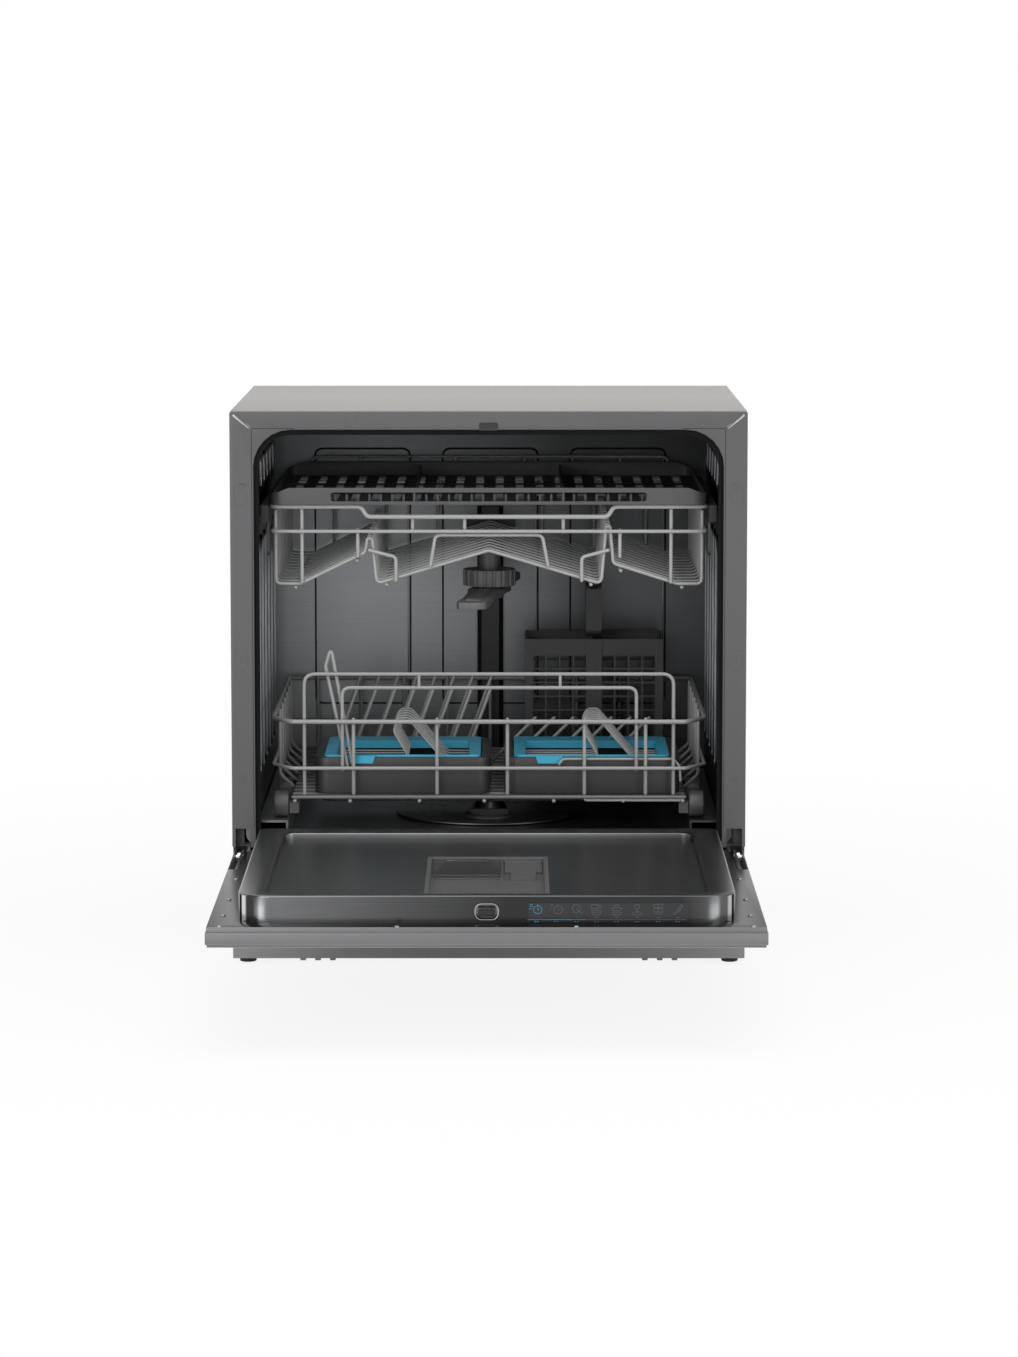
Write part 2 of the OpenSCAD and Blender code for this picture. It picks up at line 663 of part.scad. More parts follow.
module latch_housing() {
    y = [hinge_y - liner_high - 0.5, hinge_y - liner_high + 12.9];
    color("silver") difference() {
        across_y(y.x, y.y) polygon(round_rect([-12, latch_z - 8.7], [12, latch_z + 8.7], 7));
        across_y(y.x - 1, y.y - 2) polygon(round_rect([-10.4, latch_z - 7.1], [10.4, latch_z + 7.1], 5.4));
    }
}

module latch_bolt() {
    y = hinge_y - liner_high;
    color(dark) {
        block([-8.6, y + 1.2, latch_z - 5], [8.6, y + 6.8, latch_z + 4]);
        block([-7.6, y + 0.2, latch_z + 1.4], [7.6, y + 1.2, latch_z + 4]);
    }
}

// Lower basket, pushed in

module lower_rim_wires() {
    a = basket_half;
    color(wire_grey) for (z = [lower_rim, lower_mid]) {
        d = z == lower_rim ? rim_d : wire_d;
        // The front corners are cut
        wire([[-a, lower_back - d / 2 - weld, z], [-a, lower_front + 34, z], [21 - a, lower_front, z],
              [a - 21, lower_front, z], [a, lower_front + 34, z], [a, lower_back - d / 2 - weld, z]], d);
        rod([-a, lower_back, z], [a, lower_back, z], d);
    }
}

module lower_floor_wires() {
    a = runner_out + wire_d;
    color(wire_grey) for (i = [0:cross_n - 1])
        rod([-a, lower_front + 4 + i * cross_step, cross_z], [a, lower_front + 4 + i * cross_step, cross_z]);
}

module lower_runners() {
    color(wire_grey) for (x = runner_x) rod([x, lower_front, runner_z], [x, lower_back, runner_z]);
}

module lower_fences() {
    // Loops that stand behind the front rim, uprights round the basket, and loops at the back
    y = lower_front + rim_d / 2 + wire_d / 2 + weld;
    yb = lower_back - rim_d / 2 - wire_d / 2 - weld;
    low = floor_top + weld;
    side_x = basket_half - rim_d / 2 - wire_d / 2 - weld;
    color(wire_grey) {
        wire([[-199, y, low], [-199, y, lower_loop], [199, y, lower_loop], [199, y, low]]);
        inner = lower_loop - 14.8;
        wire([[-158, y, lower_mid - 4], [-158, y, inner], [159, y, inner], [159, y, lower_mid - 4]]);
        for (x = [-75, 77]) rod([x, y, inner + wire_d / 2 + weld], [x, y, lower_loop - wire_d / 2 - weld], 3.4);
        for (x = [-146, -56, 20, 103, 169]) rod([x, y, low], [x, y, lower_rim + 4]);
        // Tall leaning loop behind the left upright, which steadies a large plate
        yl = y + wire_d + weld;
        wire([[-152, yl, lower_mid - 2], [-176, yl, lower_loop + 8], [-171.4, yl, lower_loop + 20]]);
        rod([-146, yl, lower_mid - 2], [-168.7, yl, lower_loop + 27]);
        for (x = [-200 : 50 : 200]) rod([x, yb, low], [x, yb, lower_rim + 4]);
        both_sides() for (i = [3 : 2 : cross_n - 2]) {
            yi = lower_front + 4 + i * cross_step;
            wire([[runner_out + wire_d + 1.5, yi, cross_z], [side_x, yi, cross_z + 14], [side_x, yi, lower_rim + 4]]);
        }
    }
}

module roller_brackets() {
    x1 = roller_x.x - 1;
    color(plastic) both_sides() for (y = roller_y) {
        block([x1 - 10, y - 10, roller_z - 9], [x1, y + 10, runner_z - wire_d / 2 - weld]);
        translate([x1, y, roller_z]) rotate([0, 90, 0]) cylinder(h = roller_x.y - x1 + 1, d = 6, $fn = 24);
    }
}

module lower_roller_pair(i) {
    color(dark) both_sides() translate([roller_x.x, roller_y[i], roller_z]) rotate([0, 90, 0])
        difference() {
            w = roller_x.y - roller_x.x;
            cylinder(h = w, r = roller_r, $fn = 48);
            translate([0, 0, -1]) cylinder(h = w + 2, d = 6.3, $fn = 24);
            translate([0, 0, w - 3]) rotate_extrude($fn = 48) translate([5.5, 0]) square([6, 4]);
        }
}
module lower_rollers_1() { lower_roller_pair(0); }
module lower_rollers_2() { lower_roller_pair(1); }
module lower_rollers_3() { lower_roller_pair(2); }
module lower_rollers_4() { lower_roller_pair(3); }

row_left_x = -181;
row_right_x = -4;
row_y = [lower_front + 186, lower_front + 286, lower_front + 206];
// A hinged row: its axle lies along x, and its tines lean to the right
module tine_row(x, y, count, lean, height) {
    color(wire_grey) {
        rod([x - 5, y, row_z], [x + (count - 1) * tine_pitch + 12, y, row_z], axle_d);
        for (i = [0:count - 1]) {
            foot = [x + i * tine_pitch, y, row_z + axle_d / 2 + weld];
            rod(foot, foot + [height * tan(lean), 0, height], tine_d);
        }
    }
}
module tine_row_left_front() { tine_row(row_left_x, row_y.x, tine_count, 20, tine_len); }
module tine_row_left_rear() { tine_row(row_left_x, row_y.y, tine_count, 20, tine_len); }
module tine_row_right() { tine_row(row_right_x, row_y.z, tine_count - 1, 45, 54); }

module tine_clips() {
    left = [row_left_x - 5, row_left_x + (tine_count - 1) * tine_pitch + 12];
    right = [row_right_x - 5, row_right_x + (tine_count - 2) * tine_pitch + 12];
    spots = [[left.x, row_y.x], [left.y, row_y.x], [left.x, row_y.y], [left.y, row_y.y],
             [right.x, row_y.z], [right.y, row_y.z]];
    color(dark) for (s = spots) difference() {
        block([s.x - 3, s.y - 5, floor_top + weld], [s.x + 3, s.y + 5, row_z + 5]);
        translate([s.x, s.y, row_z]) rotate([0, 90, 0]) cylinder(h = 10, d = axle_d + 0.2, center = true, $fn = 24);
    }
}

function tray_out(x, grow) = round_rect([x + grow, tray_y + grow],
                                        [x + tray_w - grow, tray_y + tray_depth - grow], 16 - grow);
module tray_inserts() {
    color(plastic) for (x = tray_x) difference() {
        across_z(tray_z, tray_z + tray_h) polygon(tray_out(x, 0));
        across_z(tray_z + tray_t, tray_z + tray_h - 2.4) polygon(tray_out(x, tray_t));
        translate([x, tray_y, 0]) across_z(tray_z + tray_h - 3, tray_z + tray_h + 1)
            polygon(frame_line(x < 0 ? -1 : 1, 9.5));
    }
}

// Blue frame that closes the top of an insert: its outer side slants, and a skirt hangs inside
function frame_line(side, grow) = let (a = grow, b = tray_w - grow, s = 14)
    side < 0 ? [[a, grow], [b, grow], [b, tray_depth - grow], [a + s, tray_depth - grow]]
             : [[a, grow], [b, grow], [b - s, tray_depth - grow], [a, tray_depth - grow]];
module tray_frames() {
    z = tray_z + tray_h;
    color(blue) for (k = [0, 1]) translate([tray_x[k], tray_y, 0]) {
        side = k == 0 ? -1 : 1;
        across_z(z, z + blue_t) difference() {
            polygon(frame_line(side, 3));
            polygon(frame_line(side, 13));
        }
        across_z(tray_rack + 3, z) difference() {
            polygon(frame_line(side, 10));
            polygon(frame_line(side, 12.5));
        }
        tab = k == 0 ? 40 : 18;
        block([tab, -1.6, z - 6], [tab + 28, -0.2, z + blue_t]);
        block([tab, -1.6, z], [tab + 28, 4, z + blue_t]);
    }
}

// Cross wires inside an insert, each bent up into a leaning loop
module tray_racks() {
    color(wire_grey) for (k = [0, 1], i = [0:rack_n - 1]) {
        x0 = tray_x[k] + tray_t + 0.2;
        x1 = tray_x[k] + tray_w - tray_t - 0.2;
        foot = k == 0 ? -77 : 121;
        span = k == 0 ? 52 : 40;
        loop = [[x0, 0], [foot, 0], [foot - 20, 27], [foot - 21, 38], [foot - 15, 46], [foot - 6, 46],
                [foot + 2, 39], [foot + span, 0], [x1, 0]];
        jointed_wire([for (q = loop) q + [0, tray_rack]], tray_y + 26 + i * rack_pitch, rack_d);
    }
}

module caddy_wall(w, h, nx, nz) {
    bar = 2;
    px = (w - 16) / nx;
    pz = (h - 26) / nz;
    difference() {
        square([w, h]);
        for (i = [0:nx - 1], j = [0:nz - 1])
            translate([8 + i * px + bar / 2, 8 + j * pz + bar / 2]) square([px - bar, pz - bar]);
    }
}
module cutlery_basket() {
    x1 = caddy_x + caddy_w;
    y1 = caddy_y + caddy_d;
    mid = caddy_x + caddy_w / 2;
    color(plastic) {
        for (y = [caddy_y, y1 - caddy_t]) across_y(y, y + caddy_t)
            translate([caddy_x, caddy_z]) caddy_wall(caddy_w, caddy_h, 9, 7);
        for (x = [caddy_x, x1 - caddy_t]) across_x(x, x + caddy_t)
            translate([caddy_y + caddy_t, caddy_z]) caddy_wall(caddy_d - 2 * caddy_t, caddy_h, 5, 7);
        block([caddy_x + caddy_t, caddy_y + caddy_t, caddy_z], [x1 - caddy_t, y1 - caddy_t, caddy_z + 2]);
        block([mid - 1, caddy_y + caddy_t, caddy_z + 2], [mid + 1, y1 - caddy_t, caddy_z + caddy_h]);
        // Handle strap with two prongs, which runs down the front wall as a rib
        block([mid - 9, caddy_y - 2.5, caddy_z + 48], [mid + 9, caddy_y, caddy_z + caddy_h]);
        ym = caddy_y + caddy_d / 2;
        difference() {
            across_x(mid - 9, mid + 9) difference() {
                polygon(round_rect([ym - 24, caddy_z + caddy_h], [ym + 24, handle_top], 8));
                polygon(round_rect([ym - 17, caddy_z + caddy_h + 8], [ym + 17, handle_top - 12], 6));
            }
            across_y(ym - 30, ym + 30)
                polygon([[mid - 5, handle_top + 1], [mid - 4, handle_top - 6], [mid + 4, handle_top - 6],
                         [mid + 5, handle_top + 1]]);
        }
    }
}

// Upper basket, pushed in

module upper_rim_wires() {
    a = upper_half;
    dip = upper_rim - 11;
    color(wire_grey) {
        jointed_wire([[-a, upper_rim], [-137, upper_rim], [-131, dip], [128, dip], [134, upper_rim], [a, upper_rim]],
                     upper_front, rim_d);
        rod([-a, upper_back, upper_rim], [a, upper_back, upper_rim], rim_d);
        both_sides() rod([a, upper_front + rim_d / 2 + weld, upper_rim], [a, upper_back - rim_d / 2 - weld, upper_rim],
                         rim_d);
        for (y = [upper_front, upper_back]) rod([-a, y, upper_mid], [a, y, upper_mid]);
        both_sides() rod([a, upper_front + wire_d / 2 + weld, upper_mid], [a, upper_back - wire_d / 2 - weld, upper_mid]);
    }
}

module upper_floor_wires() {
    edge = rim_d / 2 + 1.5 * wire_d + 2 * weld;
    step = (upper_back - upper_front - 2 * edge) / (upper_count - 1);
    color(wire_grey) for (i = [0:upper_count - 1]) jointed_wire(profile, upper_front + edge + i * step);
}

// Lowest level of the cross wires, for the runners beneath them and the uprights beside them
under = [[-upper_half + 4, upper_low], [-203, upper_low], [-133, upper_low + 34], [-121, upper_low], [0, arch],
         [121, upper_low], [134, upper_low + 22], [203, upper_low], [upper_half - 4, upper_low]];
function below(x) = let (k = (lookup(x + 1, under) - lookup(x - 1, under)) / 2)
    lookup(x, under) - (wire_d + weld) * norm([1, k]);
module upper_fences() {
    y = upper_front + rim_d / 2 + wire_d / 2 + weld;
    yb = upper_back - rim_d / 2 - wire_d / 2 - weld;
    color(wire_grey) {
        for (x = [-201, 196]) rod([x, y, lookup(x, under)], [x, y, upper_rim + 1]);
        for (x = [-141, 141]) rod([x, y, lookup(x, under) - 2], [x, y, upper_mid + 3]);
        for (x = [-82, -26, 80]) rod([x, y, upper_mid], [x, y, upper_rim - 11]);
        // Short braces of the crests, and the low loop in the middle
        for (s = [-1, 1])
            wire([[s * 130, y, crest - 12], [s * 100, y, crest - 20], [s * 100, y, lookup(100, under) - 4]]);
        wire([[-63, y, lookup(63, under)], [-57.5, y, upper_mid - 4.5], [57.5, y, upper_mid - 4.5],
              [63, y, lookup(63, under)]]);
        for (x = [-180 : 60 : 180]) if (x != 0) rod([x, yb, lookup(x, under)], [x, yb, upper_rim + 1]);
        for (x = [-208, -142, -110, 110, 142, 208])
            rod([x, upper_front + 6, below(x)], [x, upper_back - 6, below(x)]);
    }
}

module upper_rails() {
    h = rail_r + run;
    color("#8a8d8f") both_sides() {
        block([rail_in, rail_y.x + 4 + weld, rail_z - h - rail_t], [rail_in + rail_t, rail_y.y, rail_z + h + rail_t]);
        for (z = [rail_z - h - rail_t, rail_z + h])
            block([rail_in + rail_t + weld, rail_y.x + 4 + weld, z], [rail_out, rail_y.y, z + rail_t]);
        block([rail_in, rail_y.x, rail_z - h - rail_t], [rail_out, rail_y.x + 4, rail_z + h + rail_t]);
    }
}

module rail_roller_pair(y) {
    color(dark) both_sides() translate([rail_in + rail_t + 0.6, y, rail_z]) rotate([0, 90, 0]) {
        cylinder(h = 5.4, r = rail_r, $fn = 40);
        cylinder(h = tub_half - rail_in - rail_t - 0.6 - run, d = 6, $fn = 24);
    }
}
module rail_rollers_front() { rail_roller_pair(rail_roller_y.x); }
module rail_rollers_rear() { rail_roller_pair(rail_roller_y.y); }

module height_plates() {
    z1 = rail_z - rail_r - run - rail_t - 0.1;
    color(plastic) both_sides() across_x(rail_in, rail_in + 3)
        polygon(round_rect([upper_front + 4, z1 - 38], [upper_front + 74, z1], 6));
}

module feed_pipe() {
    y1 = tub_back - column_t - 0.1 - 6 - run;
    color("#55585a") {
        translate([0, upper_arm_y, pipe_z]) rotate([-90, 0, 0]) cylinder(h = y1 - upper_arm_y, r = pipe_r, $fn = 40);
        translate([0, y1 - 5, pipe_z]) rotate([-90, 0, 0]) cylinder(h = 5, r = pipe_r + 4, $fn = 40);
        translate([0, upper_arm_y, nut_z.y]) cylinder(h = pipe_z - nut_z.y + 4, d = 24, $fn = 36);
    }
}

module ring_nut() {
    color("#8a8d8f") translate([0, upper_arm_y, 0]) difference() {
        translate([0, 0, nut_z.x]) cylinder(h = nut_z.y - nut_z.x, r = nut_r, $fn = 48);
        translate([0, 0, nut_z.x - 1]) cylinder(h = 10, d = 30.6, $fn = 48);
        translate([0, 0, nut_z.x + 4]) cylinder(h = 8, d = 43, $fn = 48);
        for (a = [0:20:340]) rotate(a) translate([nut_r + 1, 0, nut_z.x + 9]) cylinder(h = 20, d = 5, center = true);
    }
}

module cutlery_tray() {
    x1 = upper_half + 1;
    y0 = upper_front - 8;
    y1 = upper_back - 4;
    z0 = tray3_z;
    z1 = tray3_z + tray3_h;
    n = 20;
    third = (y1 - y0 - 14) / 3;
    color(plastic) {
        difference() {
            // Low side walls, with shoulders that rise to the front and back walls
            intersection() {
                across_z(z0, z1) polygon(round_rect([-x1, y0], [x1, y1], 14));
                across_y(y0 - 1, y1 + 1) polygon([[-x1 - 1, z0 - 1], [x1 + 1, z0 - 1], [x1 + 1, z0 + 10],
                                                  [x1 - 20, z1], [20 - x1, z1], [-x1 - 1, z0 + 10]]);
            }
            across_z(z0 + 2, z1 + 1) polygon(round_rect([-x1 + 2.4, y0 + 2.4], [x1 - 2.4, y1 - 2.4], 11.6));
            // Slotted floor
            for (i = [0:n - 1], j = [0:2])
                translate([-x1 + 22 + i * (2 * x1 - 44) / (n - 1), y0 + 7 + third * (j + 0.5)])
                    cube([9, third - 24, 8 + 2 * z0], center = true);
            // Long window in the front wall
            across_y(y0 - 1, y0 + 3) polygon(round_rect([-x1 + 65, z0 + 3.4], [x1 - 65, z0 + 13], 3));
        }
        // Comb behind the window that parts the cutlery
        for (i = [0:27]) translate([(i - 13.5) * 12.2, y0 + 9, z0 + 1.9]) block([-1.2, 0, 0], [1.2, 3, 9]);
        for (x = [-80, 80]) block([x - 1, y0 + 2.3, z0 + 1.9], [x + 1, y1 - 2.3, z0 + 14]);
    }
}

module place() { translate([0, front_y, 0]) children(); }

place() base_tray();
place() feet();
place() side_panels();
place() top_cover();
place() back_panel();
place() front_frame();
place() pocket_beam();
place() tub();
place() door_seal();
place() latch_striker();
place() hinge_brackets();
place() hinge_pins();
place() sump();
place() filter_plate();
place() filter_cup();
place() wash_pump();
place() drain_pump();
place() water_inlet();
place() water_column();
place() docking_head();
place() lower_rails();
place() lower_spray_arm();
place() door_panel();
place() door_liner();
place() control_strip();
place() dispenser_body();
place() detergent_lid();
place() rinse_aid_flap();
place() latch_housing();
place() latch_bolt();
place() hinge_arms();
place() lower_rim_wires();
place() lower_floor_wires();
place() lower_runners();
place() lower_fences();
place() roller_brackets();
place() lower_rollers_1();
place() lower_rollers_2();
place() lower_rollers_3();
place() lower_rollers_4();
place() tine_row_left_front();
place() tine_row_left_rear();
place() tine_row_right();
place() tine_clips();
place() tray_inserts();
place() tray_frames();
place() tray_racks();
place() cutlery_basket();
place() upper_rim_wires();
place() upper_floor_wires();
place() upper_fences();
place() upper_rails();
place() rail_rollers_front();
place() rail_rollers_rear();
place() height_plates();
place() feed_pipe();
place() ring_nut();
place() upper_spray_arm();
place() cutlery_tray();
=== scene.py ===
import math

import bmesh
import bpy
from mathutils import Matrix, Vector


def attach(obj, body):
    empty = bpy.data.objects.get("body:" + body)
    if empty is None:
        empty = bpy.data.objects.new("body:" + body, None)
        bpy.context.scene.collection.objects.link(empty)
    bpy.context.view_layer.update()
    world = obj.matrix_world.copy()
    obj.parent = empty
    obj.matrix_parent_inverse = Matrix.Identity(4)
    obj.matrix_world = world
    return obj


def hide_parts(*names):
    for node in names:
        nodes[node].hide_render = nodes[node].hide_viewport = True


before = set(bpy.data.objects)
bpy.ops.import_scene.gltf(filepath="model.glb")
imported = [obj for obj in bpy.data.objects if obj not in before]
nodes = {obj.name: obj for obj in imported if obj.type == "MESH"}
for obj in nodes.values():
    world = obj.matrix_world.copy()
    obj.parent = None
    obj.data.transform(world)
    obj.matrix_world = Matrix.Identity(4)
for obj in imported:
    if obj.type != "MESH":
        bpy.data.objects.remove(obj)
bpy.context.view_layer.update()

# Camera: the machine is seen from a little above, from far off, so its
# sides hardly splay. The front of the cabinet lies 3.5 mm behind the
# middle of the floor area that the open machine covers.
front = 0.0035
eye = bpy.data.cameras.new("eye")
eye.sensor_fit = "VERTICAL"
eye.sensor_height = 36
eye.lens = 122.03
eye.clip_end = 60
camera = bpy.data.objects.new("eye", eye)
camera.location = (0.0217, front - 4.875, 0.9049)
camera.rotation_euler = (math.radians(90 - 6.956), 0, 0)
bpy.context.scene.collection.objects.link(camera)
bpy.context.scene.camera = camera
bpy.context.scene.view_settings.view_transform = "Standard"

# Studio: a white floor that runs to the horizon, a white sky that shows in
# the steel, and soft lamps over and in front of the machine.
floor_mesh = bmesh.new()
bmesh.ops.create_grid(floor_mesh, x_segments=1, y_segments=1, size=25)
floor_data = bpy.data.meshes.new("floor")
floor_mesh.to_mesh(floor_data)
floor = bpy.data.objects.new("floor", floor_data)
bpy.context.scene.collection.objects.link(floor)
paper = bpy.data.materials.new("studio_paper")
paper.use_nodes = True
paper_bsdf = paper.node_tree.nodes["Principled BSDF"]
paper_bsdf.inputs["Base Color"].default_value = (0.93, 0.93, 0.93, 1)
paper_bsdf.inputs["Roughness"].default_value = 0.9
paper_bsdf.inputs["Specular IOR Level"].default_value = 0.1
# The paper is nearly all white light where it is seen, and wholly so away
# from the machine's faint shadow
paper_tree = paper.node_tree
paper_glow = paper_tree.nodes.new("ShaderNodeEmission")
paper_mix = paper_tree.nodes.new("ShaderNodeMixShader")
paper_at = paper_tree.nodes.new("ShaderNodeTexCoord")
paper_far = paper_tree.nodes.new("ShaderNodeVectorMath")
paper_far.operation = "LENGTH"
paper_fade = paper_tree.nodes.new("ShaderNodeMapRange")
paper_fade.inputs["From Min"].default_value = 0.5
paper_fade.inputs["From Max"].default_value = 1.6
paper_fade.inputs["To Min"].default_value = 0.88
paper_tree.links.new(paper_at.outputs["Object"], paper_far.inputs[0])
paper_tree.links.new(paper_far.outputs["Value"], paper_fade.inputs["Value"])


def seen(tree):
    """How far a surface is seen, by the camera or in metal or glass, from 0 to 1."""
    path = tree.nodes.new("ShaderNodeLightPath")
    both = tree.nodes.new("ShaderNodeMath")
    both.operation = "MAXIMUM"
    tree.links.new(path.outputs["Is Camera Ray"], both.inputs[0])
    tree.links.new(path.outputs["Is Glossy Ray"], both.inputs[1])
    every_ray = tree.nodes.new("ShaderNodeMath")
    every_ray.operation = "MAXIMUM"
    tree.links.new(both.outputs[0], every_ray.inputs[0])
    tree.links.new(path.outputs["Is Transmission Ray"], every_ray.inputs[1])
    return every_ray.outputs[0]


paper_share = paper_tree.nodes.new("ShaderNodeMath")
paper_share.operation = "MULTIPLY"
paper_tree.links.new(seen(paper_tree), paper_share.inputs[0])
paper_tree.links.new(paper_fade.outputs["Result"], paper_share.inputs[1])
paper_tree.links.new(paper_share.outputs[0], paper_mix.inputs[0])
paper_tree.links.new(paper_bsdf.outputs[0], paper_mix.inputs[1])
paper_tree.links.new(paper_glow.outputs[0], paper_mix.inputs[2])
paper_tree.links.new(paper_mix.outputs[0], paper_tree.nodes["Material Output"].inputs["Surface"])
floor_data.materials.append(paper)

world = bpy.data.worlds.new("studio")
bpy.context.scene.world = world
world.use_nodes = True
sky = world.node_tree
sky.nodes.clear()
sky_out = sky.nodes.new("ShaderNodeOutputWorld")
sky_mix = sky.nodes.new("ShaderNodeMixShader")
sky_light = sky.nodes.new("ShaderNodeBackground")
sky_seen = sky.nodes.new("ShaderNodeBackground")
sky_light.inputs["Color"].default_value = (0.97, 0.985, 1, 1)
sky_light.inputs["Strength"].default_value = 0.5
sky_seen.inputs["Color"].default_value = (1, 1, 1, 1)
sky_seen.inputs["Strength"].default_value = 1
sky.links.new(seen(sky), sky_mix.inputs[0])
sky.links.new(sky_light.outputs[0], sky_mix.inputs[1])
sky.links.new(sky_seen.outputs[0], sky_mix.inputs[2])
sky.links.new(sky_mix.outputs[0], sky_out.inputs["Surface"])


def lamp(name, place, aim, size, watts):
    """A soft rectangular lamp that points at a place on the machine."""
    light = bpy.data.lights.new(name, "AREA")
    light.shape = "RECTANGLE"
    light.size, light.size_y = size
    light.energy = watts
    holder = bpy.data.objects.new(name, light)
    holder.location = place
    holder.rotation_euler = (Vector(aim) - Vector(place)).to_track_quat("-Z", "Y").to_euler()
    bpy.context.scene.collection.objects.link(holder)


lamp("overhead", (0.2, -0.7, 2.6), (0, -0.05, 0.3), (2.6, 2.2), 30)
lamp("front_left", (-1.7, -3.0, 1.5), (0, -0.1, 0.3), (1.6, 1.6), 30)
lamp("front_right", (2.2, -2.2, 1.2), (0, -0.1, 0.3), (1.2, 1.6), 14)
# Two low strips beside the door light the rounded corners of its liner
for name, s in (("low_left", -1), ("low_right", 1)):
    lamp(name, (s * 0.8, -1.05, 0.06), (s * 0.2, -0.45, 0.14), (0.5, 0.1), 0.9)


# Base tray: one deep moulding of grey plastic with a fine spark-eroded
# grain, which closes the foot of the cabinet and carries the pumps. Four
# rubber feet are pressed into its corners.
def group(name, ins, outs):
    """A shader node group with the named number inputs and the named outputs."""
    tree = bpy.data.node_groups.new(name, "ShaderNodeTree")
    for label, value in ins.items():
        socket = tree.interface.new_socket(label, in_out="INPUT", socket_type="NodeSocketFloat")
        socket.default_value = value
    for label, kind in outs.items():
        tree.interface.new_socket(label, in_out="OUTPUT", socket_type="NodeSocket" + kind)
    return tree, tree.nodes.new("NodeGroupInput"), tree.nodes.new("NodeGroupOutput")


# Grain: cells and fine noise over the surface, with slow cloudy patches
grain, grain_in, grain_out = group(
    "surface_grain", {"Scale": 900, "Depth": 0.2, "Patches": 0.08}, {"Tint": "Float", "Normal": "Vector"})
grain_at = grain.nodes.new("ShaderNodeTexCoord")
grain_fine = grain.nodes.new("ShaderNodeTexNoise")
grain_fine.inputs["Detail"].default_value = 3
grain_slow = grain.nodes.new("ShaderNodeTexNoise")
grain_slow.inputs["Scale"].default_value = 6
grain_slow.inputs["Detail"].default_value = 4
grain_bump = grain.nodes.new("ShaderNodeBump")
grain_bump.inputs["Distance"].default_value = 0.0004
grain_tint = grain.nodes.new("ShaderNodeMath")
grain_tint.operation = "MULTIPLY_ADD"
grain_tint.inputs[2].default_value = 1
grain_centre = grain.nodes.new("ShaderNodeMath")
grain_centre.operation = "SUBTRACT"
grain_centre.inputs[1].default_value = 0.5
grain.links.new(grain_at.outputs["Object"], grain_fine.inputs["Vector"])
grain.links.new(grain_at.outputs["Object"], grain_slow.inputs["Vector"])
grain.links.new(grain_in.outputs["Scale"], grain_fine.inputs["Scale"])
grain.links.new(grain_fine.outputs["Fac"], grain_bump.inputs["Height"])
grain.links.new(grain_in.outputs["Depth"], grain_bump.inputs["Strength"])
grain.links.new(grain_slow.outputs["Fac"], grain_centre.inputs[0])
grain.links.new(grain_centre.outputs[0], grain_tint.inputs[0])
grain.links.new(grain_in.outputs["Patches"], grain_tint.inputs[1])
grain.links.new(grain_tint.outputs[0], grain_out.inputs["Tint"])
grain.links.new(grain_bump.outputs["Normal"], grain_out.inputs["Normal"])


def finish(name, colour, rough, metal=0.0, scale=900, depth=0.2, patches=0.08, coat=0.0, shine=0.5,
           texture=None):
    """A material of one colour whose tint, gloss and normal come from a texture group."""
    mat = bpy.data.materials.new(name)
    mat.use_nodes = True
    tree = mat.node_tree
    bsdf = tree.nodes["Principled BSDF"]
    skin = tree.nodes.new("ShaderNodeGroup")
    skin.node_tree = texture or grain
    skin.inputs["Scale"].default_value = scale
    skin.inputs["Depth"].default_value = depth
    skin.inputs["Patches"].default_value = patches
    tinted = tree.nodes.new("ShaderNodeVectorMath")
    tinted.operation = "SCALE"
    tinted.inputs[0].default_value = colour
    tree.links.new(skin.outputs["Tint"], tinted.inputs["Scale"])
    tree.links.new(tinted.outputs[0], bsdf.inputs["Base Color"])
    worn = tree.nodes.new("ShaderNodeMath")
    worn.operation = "MULTIPLY"
    worn.inputs[1].default_value = rough
    tree.links.new(skin.outputs["Tint"], worn.inputs[0])
    tree.links.new(worn.outputs[0], bsdf.inputs["Roughness"])
    tree.links.new(skin.outputs["Normal"], bsdf.inputs["Normal"])
    bsdf.inputs["Metallic"].default_value = metal
    bsdf.inputs["Coat Weight"].default_value = coat
    bsdf.inputs["Specular IOR Level"].default_value = shine
    return mat


def dress(mat, *names):
    """Puts a material on CAD nodes."""
    for name in names:
        data = nodes[name].data
        data.materials.clear()
        data.materials.append(mat)


def fitted(shape, name, body, mat, replaced=(), shade=32):
    """Makes a shape a piece of a body, smooth but for its sharp edges."""
    for face in shape.faces:
        face.smooth = True
    for edge in shape.edges:
        edge.smooth = not (len(edge.link_faces) == 2 and edge.calc_face_angle(0) > math.radians(shade))
    data = bpy.data.meshes.new(name)
    shape.to_mesh(data)
    data.materials.append(mat)
    piece = bpy.data.objects.new(name, data)
    bpy.context.scene.collection.objects.link(piece)
    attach(piece, body)
    if replaced:
        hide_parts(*replaced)
    return piece


def softened(name, body, slot, mat, *rounds, shade=32):
    """A copy of a CAD node with some of its edges rounded. Each round is a test of an edge's two ends, whose
    places are in millimetres from the cabinet's front, then a width in millimetres and its segments."""
    shape = bmesh.new()
    shape.from_mesh(nodes[name].data)
    bmesh.ops.remove_doubles(shape, verts=shape.verts, dist=2e-6)
    bmesh.ops.dissolve_limit(shape, angle_limit=math.radians(0.4), verts=shape.verts, edges=shape.edges)
    for wanted, width, segments in rounds:
        sharp = [e for e in shape.edges
                 if len(e.link_faces) == 2 and e.calc_face_angle(0) > math.radians(shade)
                 and wanted(*(v.co * 1000 - Vector((0, front * 1000, 0)) for v in e.verts))]
        bmesh.ops.bevel(shape, geom=sharp, offset=width / 1000, offset_type="OFFSET", segments=segments,
                        profile=0.5, affect="EDGES", clamp_overlap=True, material=-1)
    return fitted(shape, name + "_rounded", body, mat, [name], shade)


def every(a, b):
    """Any edge."""
    return True


